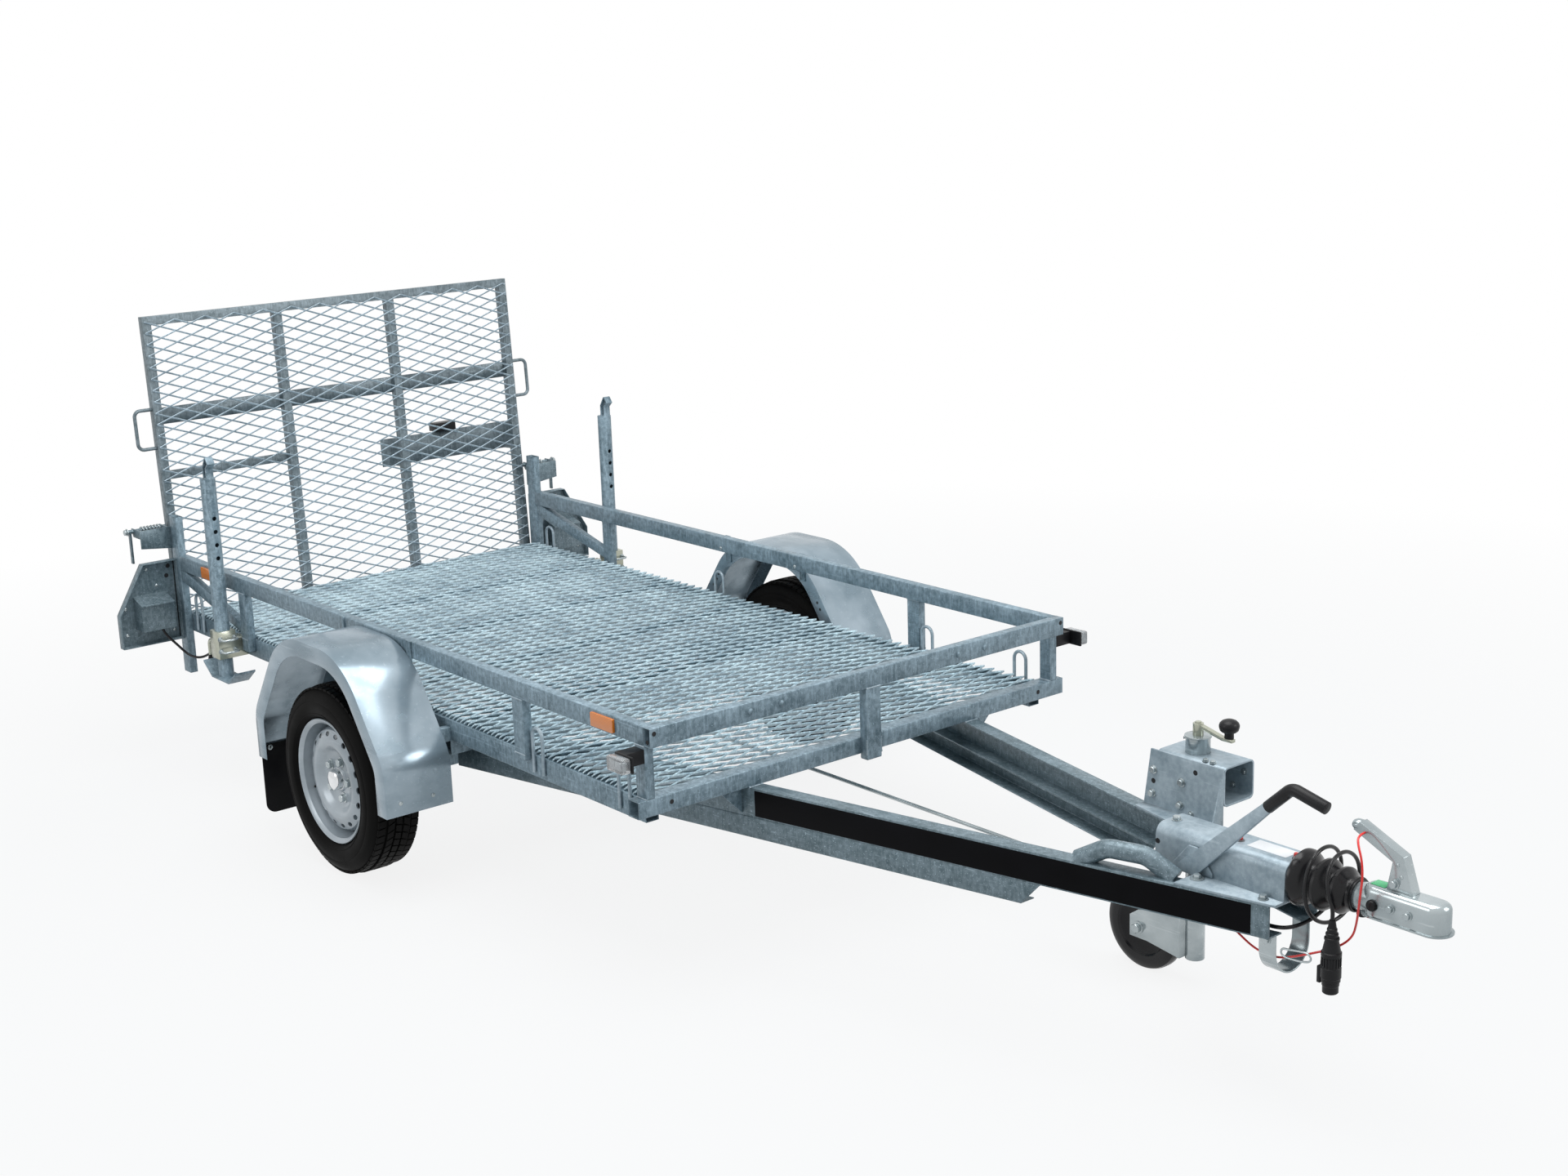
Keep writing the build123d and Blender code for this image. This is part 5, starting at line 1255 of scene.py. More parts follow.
DRESSINGS = (
    Dressing("galvanised_steel", 0.0022, (
        "rail_front", "rail_sides", "rail_posts", "latch_posts", "front_sill", "rear_sill", "side_members",
        "cross_members", "axle_beam", "rear_braces",
    )),
    Dressing("galvanised_dark", 0.0022, ("drawbar_beams", "drawbar_doublers")),
    Dressing("galvanised_dark", 0.0008, ("light_boards", "ramp_latches")),
    Dressing("galvanised_steel", 0.0008, (
        "trailing_arms", "guard_struts", "hinge_lugs", "sill_gussets", "prop_stand_left", "prop_stand_right",
    )),
    Dressing("galvanised_pale", 0.0012, ("overrun_housing", "brake_lever", "jockey_bracket")),
    Dressing("galvanised_ramp", 0.001, ("ramp_frame", "ramp_handles", "plate_holder")),
    Dressing("zinc_sheet", 0.0006, ("mudguards",)),
    Dressing("bright_zinc", 0.0008, (
        "coupling_shaft", "coupling_head", "coupling_handle", "jockey_tube", "jockey_leg",
        "jockey_fork", "safety_loop", "brake_rod", "cable_clip",
    )),
    Dressing("yellow_zinc", 0.0008, ("jockey_crank", "stand_clamps")),
    Dressing("hub_iron", 0.0008, ("hub_left", "hub_right")),
    Dressing("flap_rubber", 0.0008, ("mud_flaps",)),
    Dressing("black_plastic", 0.0012, ("lever_grip", "lamp_arms", "plate_lamp")),
    Dressing("orange_lens", 0.0012, ("side_reflectors",)),
)


# Wheels


@dataclass
class Wheel:
    """A road wheel: treaded tyre, steel rim with slots, bolts, cap and valve."""

    side: int
    name: str
    width: float = 0.165
    radius: float = 0.278
    groove_depth: float = 0.0075
    tread_root: float = 0.004
    block_share: float = 0.88
    block_edge: float = 0.0012
    blocks: int = 66
    stagger: float = 9.0
    rim_radius: float = 0.1825
    rim_half: float = 0.07
    disc_out: float = 0.041
    disc_sheet: float = 0.004
    slot_count: int = 18
    slot_inset: float = 0.0475
    slot_size: tuple[float, float, float] = (0.0105, 0.0068, 0.08)
    bolt_size: float = 0.025
    bolt_circle: float = 0.056
    bolt_seat: float = 0.0055
    bolts: int = 5
    cap_seat: float = 0.006
    spacer_radius: float = 0.072
    spacer_gap: float = 0.004
    valve_circle: float = 0.152
    valve_out: float = 0.03
    valve_angle: float = 248.0
    valve_lean: float = 0.35
    centre: Vector = field(init=False)

    def __post_init__(self) -> None:
        """Finds the wheel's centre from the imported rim."""
        low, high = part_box(f"rim_{self.name}")
        self.centre = (low + high) / 2

    def around(self, radius: float, angle: float, reach: float) -> Vector:
        """Finds a point round the wheel's axis.

        Args:
            radius: Its distance from the axis.
            angle: Its angle from the top.
            reach: How far outwards of the wheel's plane it is.

        Returns:
            The point.
        """
        return self.centre + Vector((radius * math.sin(angle), self.side * reach, radius * math.cos(angle)))

    def spin(self, name: str, outline: Rows, steps: int, closed: bool = False) -> Piece:
        """Spins an outline about the wheel's axis.

        Args:
            name: The piece's name.
            outline: Rows of radius and reach outwards of the wheel's plane.
            steps: Faces round it.
            closed: Whether the outline's last point joins its first.

        Returns:
            The piece.
        """
        rows = [(radius, self.side * reach) for radius, reach in outline]
        return lathe(name, rows, self.centre, Along.Y, steps, closed)

    def tyre(self) -> Piece:
        """Models the carcass with its sidewall rings, and the tread blocks round it.

        Returns:
            The tyre as one piece.
        """
        half = self.width / 2
        crown = self.radius - self.groove_depth
        bead = self.rim_radius
        half_outline = (
            (bead - 0.011, self.rim_half - 0.007), (bead + 0.001, self.rim_half - 0.0065),
            (bead + 0.0075, self.rim_half + 0.001), (bead + 0.0115, self.rim_half + 0.0065),
            (bead + 0.0165, half - 0.002), (bead + 0.0185, half - 0.0035), (bead + 0.0205, half - 0.0025),
            (bead + 0.034, half), (bead + 0.048, half - 0.0005), (bead + 0.052, half - 0.0025),
            (bead + 0.056, half - 0.0015), (bead + 0.068, half - 0.006), (crown - 0.0105, half - 0.0125),
            (crown - 0.0035, half - 0.022), (crown + 0.0005, half - 0.034), (crown + 0.002, 0.012),
        )
        carcass = lathe("carcass", mirrored(half_outline), self.centre, Along.Y, 120)
        return join(f"tyre_tread_{self.name}", [carcass, *self.tread()])

    def tread(self) -> list[Piece]:
        """Models one block of each tread rib and repeats it round the tyre.

        Returns:
            One joined piece for each rib.
        """
        # Each row: rib's middle, its width, its drop under the crown, skew, slope of its top
        rows = (
            (0.0, 0.019, 0.0, 0.3, 0.0),
            (0.0245, 0.021, 0.0004, 0.5, 0.0),
            (-0.0245, 0.021, 0.0004, -0.5, 0.0),
            (0.0515, 0.024, 0.0032, 0.15, 0.09),
            (-0.0515, 0.024, 0.0032, -0.15, 0.09),
        )
        low = self.radius - self.groove_depth - self.tread_root
        ribs = []
        for middle, width, drop, skew, slope in rows:
            radius = self.radius - drop
            pitch = FULL_TURN * radius / self.blocks
            stone = cube("stone", (pitch * self.block_share, width, radius - low))
            for vertex in stone.data.vertices:
                vertex.co.x += skew * vertex.co.y
                if vertex.co.z > 0:
                    vertex.co.z -= abs(vertex.co.y) * slope
            round_edges(stone, self.block_edge, 1)
            shift = (0, middle, (radius + low) / 2)
            ribs.append(copies("rib", stone, [
                spun(self.centre, turn * FULL_TURN / self.blocks + middle * self.stagger, shift)
                for turn in range(self.blocks)
            ]))
        return ribs

    def rim(self) -> Piece:
        """Models the barrel and the pressed disc with its slots.

        Returns:
            The rim as one piece.
        """
        outer, half, rise = self.rim_radius, self.rim_half, self.disc_out
        barrel = self.spin("barrel", (
            (outer - 0.0005, half + 0.0012), (outer + 0.0015, half - 0.001), (outer + 0.0005, half - 0.0045),
            (outer - 0.0095, half - 0.0085), (outer - 0.0125, half - 0.03), (outer - 0.022, half - 0.05),
            (outer - 0.022, -0.03), (outer - 0.012, -0.045), (outer - 0.01, 0.0085 - half),
            (outer + 0.0005, 0.0045 - half), (outer + 0.0015, 0.001 - half), (outer - 0.0005, -half - 0.001),
            (outer - 0.0055, 0.0005 - half), (outer - 0.0135, 0.008 - half), (outer - 0.0165, -0.045),
            (outer - 0.026, -0.03), (outer - 0.026, half - 0.052), (outer - 0.0165, half - 0.031),
            (outer - 0.0135, half - 0.0075), (outer - 0.0055, half - 0.0005),
        ), 96, True)
        face = (
            (outer - 0.0255, rise - 0.034), (outer - 0.028, rise - 0.012), (outer - 0.036, rise + 0.0045),
            (outer - 0.05, rise + 0.011), (outer - 0.062, rise + 0.0145), (outer - 0.071, rise + 0.016),
            (outer - 0.08, rise + 0.0145), (outer - 0.089, rise + 0.009), (outer - 0.097, rise - 0.001),
            (outer - 0.103, rise - 0.005), (outer - 0.144, rise - 0.005), (outer - 0.1475, rise - 0.001),
            (outer - 0.151, rise - 0.001),
        )
        back = [(radius, reach - self.disc_sheet) for radius, reach in reversed(face)]
        disc = self.spin("disc", (*face, *back), 96, True)
        self.cut_slots(disc)
        return smooth(join(f"rim_pressed_{self.name}", [barrel, disc]), 40)

    def cut_slots(self, disc: Piece) -> None:
        """Cuts the ring of small oval slots through the disc.

        Args:
            disc: The disc to cut.
        """
        deselect()
        bpy.ops.mesh.primitive_cylinder_add(vertices=16, radius=1, depth=1, location=ORIGIN)
        punch = bpy.context.object
        punch.scale = self.slot_size
        settle(punch)
        shift = (0, self.side * self.disc_out, self.rim_radius - self.slot_inset)
        flat = Matrix.Rotation(math.pi / 2, 4, "X")
        punches = copies("punches", punch, [
            spun(self.centre, (turn + 0.5) * FULL_TURN / self.slot_count, shift) @ flat
            for turn in range(self.slot_count)
        ])
        cut = disc.modifiers.new("slots", "BOOLEAN")
        cut.operation = "DIFFERENCE"
        cut.solver = "EXACT"
        cut.object = punches
        apply_all(disc)
        bpy.data.objects.remove(punches)

    def fastenings(self, body: str) -> None:
        """Adds the wheel bolts, the dust cap, the hub's face and the valve.

        Args:
            body: The body that they turn with.
        """
        outward = (0, self.side, 0)
        angles = [(turn + 0.25) * FULL_TURN / self.bolts for turn in range(self.bolts)]
        scatter(f"wheel_bolts_{self.name}", hex_bolt(self.bolt_size), [
            (self.around(self.bolt_circle, angle, self.disc_out - self.bolt_seat), outward)
            for angle in angles
        ], body=body)
        foot = self.disc_out - self.cap_seat
        cap = self.spin(f"dust_cap_{self.name}", [(radius, foot + reach) for radius, reach in (
            (0.036, 0.0), (0.036, 0.003), (0.0305, 0.005), (0.0295, 0.02), (0.0265, 0.026),
            (0.0175, 0.0295), (0.0, 0.0305),
        )], 40)
        seat(cap, "chromed_cap", body)
        near, far, radius = self.spacer_gap, foot - self.spacer_gap, self.spacer_radius
        outline = ((0.0, near), (radius, near), (radius, far), (0.0, far))
        spacer = self.spin(f"hub_face_{self.name}", outline, 48)
        seat(spacer, "hub_iron", body)
        angle = math.radians(self.valve_angle)
        valve = turning(f"valve_{self.name}", (
            (0, -12), (5.5, -12), (5.5, 4), (3.8, 8), (3.8, 20), (3, 22), (0, 22),
        ), 14)
        lean = (-self.valve_lean * math.sin(angle), self.side, -self.valve_lean * math.cos(angle))
        valve.data.transform(turned_to(self.around(self.valve_circle, angle, self.valve_out), lean))
        seat(valve, "black_plastic", body)

    def build(self) -> None:
        """Builds the wheel and lets it turn with its body."""
        body = f"wheel_{self.name}"
        tyre = seat(self.tyre(), "tyre_rubber", body)
        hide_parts(f"tyre_{self.name}")
        rim = seat(self.rim(), "rim_paint", body)
        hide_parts(f"rim_{self.name}")
        self.fastenings(body)
        log.info("wheel %s built", self.name)


# Expanded metal


@dataclass
class DeckMesh:
    """Heavy expanded metal of the deck: tilted strands in staggered rows."""

    pitch: float = 0.040
    long_pitch: float = 0.108
    strand: float = 0.0165
    sheet: float = 0.0046
    tilt: float = 36.0
    knuckle_share: float = 0.25

    def build(self) -> None:
        """Lays the strands over the deck frame's box and trims them to it."""
        low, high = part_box("deck_mesh")
        row, half = self.pitch / 2, self.long_pitch / 2
        frames = [
            Matrix.Translation((high.x - (place + 0.5) * row, low.y + column * half, (low.z + high.z) / 2))
            @ Matrix.Diagonal((1, -1 if (place + column) % 2 else 1, 1, 1))
            for place in range(int((high.x - low.x) / row) + 1)
            for column in range(int((high.y - low.y) / half) + 2)
        ]
        piece = copies("deck_expanded", self.link(row, half), frames)
        cut_off(piece, (low, (-1, 0, 0)), (high, (1, 0, 0)), (low, (0, -1, 0)), (high, (0, 1, 0)))
        smooth(piece)
        # A lighter copy of the galvanised steel: painted light on the deck's strands
        seat(piece, "galvanised_deck_painted_light")
        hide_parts("deck_mesh")
        log.info("deck mesh built, %d faces", len(piece.data.polygons))

    def link(self, row: float, half: float) -> Piece:
        """Models one strand from knuckle to knuckle, tilted as the press leaves it.

        Args:
            row: The distance along X from one knuckle to the next.
            half: The same along Y.

        Returns:
            The strand, modelled round the origin.
        """
        piece = cube("strand", (self.strand, half, self.sheet))
        with editing(piece):
            bpy.ops.mesh.subdivide(number_cuts=1)
        lean = math.tan(math.radians(self.tilt))
        for vertex in piece.data.vertices:
            # Knuckles lie flatter than the middle of the strand
            share = abs(vertex.co.y) / (half / 2)
            vertex.co.z += vertex.co.x * lean * (1.0 - self.knuckle_share * share)
            vertex.co.x += vertex.co.y / half * row
        return piece


@dataclass
class RampMesh:
    """Light expanded metal on the ramp's front: twisted strands in diamonds."""

    long_pitch: float = 0.107
    short_pitch: float = 0.038
    strand: float = 0.0052
    sheet: float = 0.0026
    lean: float = 3.5
    twist: float = 40.0
    set_back: float = 0.0028

    def build(self) -> None:
        """Lays the diamonds over the ramp and trims them to its frame."""
        low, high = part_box("ramp_mesh")
        angle = math.radians(self.lean)
        up = Vector((-math.sin(angle), 0, math.cos(angle)))
        normal = Vector((math.cos(angle), 0, math.sin(angle)))
        across, rise = self.long_pitch / 2, self.short_pitch / 2
        corner = Vector((high.x, low.y, low.z)) - normal * self.set_back
        plane = Matrix.Translation(corner) @ Matrix((Vector((0, 1, 0)), up, normal)).transposed().to_4x4()
        frames = [
            plane @ Matrix.Translation(((column + 0.5) * across, (row + 0.5) * rise, 0))
            @ Matrix.Diagonal((-1 if (row + column) % 2 else 1, 1, 1, 1))
            for row in range(int((high.z - low.z) / math.cos(angle) / rise))
            for column in range(int((high.y - low.y) / across) + 1)
        ]
        piece = copies("ramp_expanded", self.link(across, rise), frames)
        cut_off(piece, (high, (0, 1, 0)))
        seat(piece, "galvanised_mesh", "ramp")
        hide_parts("ramp_mesh")
        log.info("ramp mesh built, %d faces", len(piece.data.polygons))

    def link(self, across: float, rise: float) -> Piece:
        """Models one slanting strand of a diamond, twisted on its own length.

        Args:
            across: Half the diamond's width.
            rise: Half its height.

        Returns:
            The strand, modelled round the origin.
        """
        piece = cube("strand", (math.hypot(across, rise), self.strand, self.sheet))
        turn = Matrix.Rotation(math.radians(self.twist), 4, "X")
        piece.data.transform(Matrix.Rotation(math.atan2(rise, across), 4, "Z") @ turn)
        return piece


# Small things on the frame


@dataclass
class FrameTrim:
    """Bolts, near-black discs of painted shade for the drain holes, and a near-black band of painted shade on
    the drawbar.
    """

    bolt_places: tuple[float, ...] = (-0.41, -0.31, 0.31, 0.41)
    bolt_radius: float = 0.009
    band_start_share: float = 0.012
    band_end: float = 0.042
    band_height: float = 0.068
    band_middle: float = 0.4175
    band_sheet: float = 0.0006
    nose_x: float = 1.9225
    nose_y: float = 0.085
    sill_y: float = 0.403
    beam_run: float = 1.383

    def rail_bolts(self) -> None:
        """Adds the two pairs of domed bolt heads on the front rail, and near-black discs of painted shade for
        the drain holes at its ends.
        """
        low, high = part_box("rail_front")
        middle = (low.z + high.z) / 2
        places = [((high.x, y, middle), FORE) for y in self.bolt_places]
        scatter("rail_bolts", dome_rivet(self.bolt_radius), places, "galvanised_steel")
        sill_low, sill_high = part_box("front_sill")
        rows = []
        for side, _ in SIDES:
            rows.append(((high.x, side * (high.y - 0.012), high.z - 0.014), FORE))
            rows.append(((high.x - 0.012, side * high.y, high.z - 0.036), (0, side, 0)))
            rows.append(((sill_high.x, side * (sill_high.y - 0.1), sill_low.z + 0.024), FORE))
        drain = turning("drain", ((0, 0), (6, 0), (6.2, 0.5), (0, 0.6)), 18)
        # Near-black discs of painted shade where the drain holes are
        scatter("drain_hole_shades", drain, rows, "painted_hole_shade")

    def shade_bands(self) -> None:
        """Lays a near-black band of painted shade along each drawbar beam's outer face, where its web lies in
        shade.
        """
        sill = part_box("front_sill")[1]
        slope = (self.sill_y - self.nose_y) / self.beam_run
        for side, name in SIDES:
            nose = Vector((self.nose_x, side * self.nose_y, 0))
            root = Vector((sill.x, side * (self.nose_y + (self.nose_x - sill.x) * slope), 0))
            run = nose - root
            start = root + run * self.band_start_share
            end = nose - run.normalized() * self.band_end
            outward = Vector((run.y, -run.x, 0)).normalized() * -side
            if outward.y * side < 0:
                outward = -outward
            centre = (start + end) / 2 + UP * self.band_middle + outward * self.band_sheet / 2
            size = ((end - start).length, self.band_height)
            # A near-black sheet of painted shade on the beam's outer face
            band = plate(f"band_{name}", size, self.band_sheet, frame_at(centre, run, UP), 0.0001)
            seat(band, "painted_shade_band")

    def build(self) -> None:
        """Adds all the small things on the frame."""
        self.rail_bolts()
        self.shade_bands()
        log.info("frame trim built")


# Cords


@dataclass(frozen=True)
class Cord:
    """A free cord on its packed route, as one smooth curve."""

    name: str
    node: str
    finish: str
    diameter: float
    length: float
    far_end: str
    lay: str
    route: tuple[tuple[float, float, float], ...]
    pieces: tuple[str, ...] = ()
    stiffness: str = "medium"

    def build(self) -> None:
        """Draws the cord along its route."""
        # Plain numbers
        points = [((RAIL_FRONT + reach) * MM, left * MM, up * MM) for reach, left, up in self.route]
        piece = line(self.name, points, self.diameter / 2, True, sides=4, steps=12)
        seat(piece, self.finish)
        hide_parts(self.node)
        log.info("cord %s laid", self.name)


LEAD_ROUTE = (
    (1316, -60, 400), (1350, -60, 400), (1384, -44, 404), (1402, -4, 414), (1410, 48, 436),
    (1416, 80, 484), (1422, 76, 544), (1427, 38, 583), (1432, -16, 591), (1437, -62, 566),
    (1442, -84, 516), (1447, -72, 464), (1452, -32, 430), (1457, 22, 426), (1461, 66, 456),
    (1465, 84, 506), (1468, 68, 557), (1471, 24, 588), (1477, -28, 588), (1486, -66, 560),
    (1502, -78, 520), (1505, -66, 490), (1505, -66, 466), (1505, -66, 449),
)
CABLE_ROUTE = (
    (1118, 0, 350), (1160, 0, 350), (1212, -10, 332), (1272, -24, 315), (1333, -34, 316),
    (1388, -44, 338), (1440, -50, 364), (1492, -34, 388), (1536, -38, 426), (1560, -58, 476),
    (1570, -66, 530), (1573, -62, 580), (1566, -58, 616), (1552, -52, 641), (1540, -37, 655),
    (1540, -13, 655),
)
CORDS = (
    Cord(
        "trailer_lead", "plug_lead", "black_rubber", 0.009, 1.055, "plug", "coiled", LEAD_ROUTE,
        ("plug_body",),
    ),
    Cord(
        "red_breakaway_cable", "breakaway_cable", "red_cable", 0.005, 0.732, "object", "loose", CABLE_ROUTE,
        ("cable_clip",),
    ),
)


@dataclass
class CouplingTrim:
    """Bolts, caps, bare label and rubber of the overrun coupling."""

    shaft_up: float = 508.0
    housing_up: float = 548.0
    base_up: float = 463.0
    middle_left: float = -9.0
    handle_half: float = 13.0

    def bellows(self) -> None:
        """Models the bellows with three rounded folds and the collar in front of them."""
        # Each row: reach ahead of the rail's front, radius
        rows = (
            (1373, 30), (1373, 47), (1375, 59), (1380, 63.5), (1388, 63.5), (1396, 59), (1405, 51),
            (1413, 44), (1420, 41.5), (1425, 44), (1430, 52), (1436, 57), (1443, 57.5), (1450, 53),
            (1458, 45), (1465, 39.5), (1470, 39.5), (1475, 45), (1481, 51), (1488, 51.5), (1495, 47),
            (1502, 40), (1508, 36.5), (1512, 36), (1513, 38.5), (1520, 38.5), (1521, 36), (1525, 36),
            (1525, 27.5),
        )
        outline = [(radius * MM, (RAIL_FRONT + reach) * MM) for reach, radius in rows]
        sleeve = smooth(lathe("bellows_folds", outline, (0, 0, self.shaft_up * MM), Along.X, 72), 50)
        seat(sleeve, "black_rubber")
        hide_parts("bellows")

    def fastenings(self) -> None:
        """Sets the bolts of the housing, its base and the head, and rounds the handle's end."""
        base = ((1158, -84, self.base_up), (1158, 84, self.base_up))
        ears = ((1331, -74, self.base_up), (1331, 74, self.base_up))
        top = (1035, self.middle_left, self.housing_up)
        scatter("housing_bolts", hex_bolt(0.019), facing(UP, top, *base, *ears))
        washer = turning("washer", ((0, 0), (16.5, 0), (16.5, 1.8), (0, 2.2)), 28)
        scatter("housing_washers", washer, facing(UP, *base))
        scatter("head_bolts", hex_bolt(0.0165), outwards((1621, 32, 515), (1663, 32, 512)))
        button = turning("sleeve_button", (
            (0, -4), (12.5, -4), (12.5, 4), (10.5, 7.5), (6, 9.5), (0, 10),
        ), 28)
        places = [*outwards((1577, 32, 510)), *facing(-UP, (1540, -12, 478))]
        scatter("sleeve_buttons", button, places, "black_plastic")
        half = self.handle_half
        scatter("handle_pivot", hex_bolt(0.018), outwards((1616, half, 563)))
        scatter("handle_rivets", dome_rivet(0.0045), outwards((1632, half, 582), (1622, half, 606)))
        # A near-black disc of painted shade at each housing hole
        scatter("housing_hole_shades", hole_shade_disc(6.5), outwards((1020, 55.9, 507)), "painted_hole_shade")
        tip = lathe("handle_end", (
            (0.0, -0.014), (0.011, -0.013), (0.0145, -0.007), (0.0145, 0.004), (0.011, 0.009), (0.0, 0.01),
        ), ORIGIN, Along.X, 24)
        tip.data.transform(Matrix.Translation(ahead(1519, 0, 664)) @ Matrix.Scale(0.82, 4, UP))
        seat(tip, "bright_zinc")

    def marks(self) -> None:
        """Adds the red caps on their rings, the green patch and the bare label plate."""
        cap = turning("cap", ((0, 0), (4.5, 0), (4.5, 4), (5.8, 5), (5.8, 11), (4, 13.5), (0, 14)), 18)
        ring = turning("ring", ((0, 0), (9.5, 0), (8.5, 3), (0, 3.2)), 20)
        left, up = self.middle_left, self.housing_up
        places = facing(UP, (1216, left, up), (1366, left, up))
        scatter("red_caps", cap, places, "red_cap")
        scatter("cap_rings", ring, places, "hub_iron")
        patch = block("green_patch", ahead(1558, -14, 547.6), ahead(1594, 14, 549.4), 0.0008)
        seat(patch, "green_patch")
        label = block("plain_label", ahead(1243, -22, up), ahead(1348, 24, up + 0.5))
        seat(label, "plain_label")

    def safety_clip(self) -> None:
        """Bends the wire clip that hangs on the safety loop, and adds the loop's bolts."""
        rows = (
            (1371, 352), (1374, 344), (1386, 341), (1412, 343), (1436, 346), (1449, 352), (1450, 362),
            (1440, 369), (1416, 366), (1390, 361), (1376, 360),
        )
        points = [ahead(reach, -61, up) for reach, up in rows]
        clip = bar("wire_clip", points, 0.0024, curved=True, closed=True)
        seat(clip, "bright_zinc")
        scatter("loop_bolts", hex_bolt(0.017), outwards((1333, 60, 366)))

    def build(self) -> None:
        """Adds everything on the coupling."""
        self.bellows()
        self.fastenings()
        self.marks()
        self.safety_clip()
        log.info("coupling trimmed")


@dataclass
class Plug:
    """The lead's plug: tapered boot, ribbed barrel, collar and side lid."""

    top: tuple[float, float, float] = (1505.0, -66.0, 466.0)
    ribs: int = 18
    boot_rings: int = 3
    ring_grow: float = 2.6
    ring_pitch: float = 10.0

    def build(self) -> None:
        """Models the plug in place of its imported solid."""
        # Each row: radius, distance under the plug's top
        rows = (
            (0.0, 0.0), (6.5, 0.0), (7.2, 3.0), (8.5, 12.0), (13.5, 40.0), (19.0, 66.0), (19.5, 70.0),
            (21.8, 71.5), (21.8, 80.0), (20.0, 81.5), (20.0, 104.0), (21.8, 106.0), (22.0, 128.0),
            (20.5, 130.0), (20.5, 137.0), (18.5, 139.0), (18.5, 146.0), (17.2, 148.0), (17.2, 162.0),
            (15.5, 164.0), (0.0, 164.0),
        )
        ring = ((9.5, 18), (10.8, 19), (11.2, 22), (10.6, 24))
        middle = ahead(*self.top)
        outline = [(radius * MM, -drop * MM) for radius, drop in rows]
        pieces = [smooth(lathe("shell", outline, middle, Along.Z, 48), 30)]
        rib = block("rib", (0.0195, -0.0011, -0.103), (0.0216, 0.0011, -0.083), 0.0005)
        pieces.append(copies("ribs", rib, [
            Matrix.Translation(middle) @ Matrix.Rotation(turn * FULL_TURN / self.ribs, 4, "Z")
            for turn in range(self.ribs)
        ]))
        for turn in range(self.boot_rings):
            grow, lower = turn * self.ring_grow, turn * self.ring_pitch
            outline = [((radius + grow) * MM, -(drop + lower) * MM) for radius, drop in ring]
            pieces.append(lathe("boot_ring", outline, middle, Along.Z, 36))
        for name, low, high, width in (
            ("lid", (-0.0285, -0.011, -0.146), (-0.0195, 0.011, -0.108), 0.0015),
            ("lid_hinge", (-0.0235, -0.006, -0.11), (-0.0185, 0.006, -0.096), 0.001),
        ):
            pieces.append(block(name, middle + Vector(low), middle + Vector(high), width))
        body = join("plug_body", pieces)
        seat(body, "black_plastic")
        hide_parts("lead_plug")
        log.info("plug modelled")


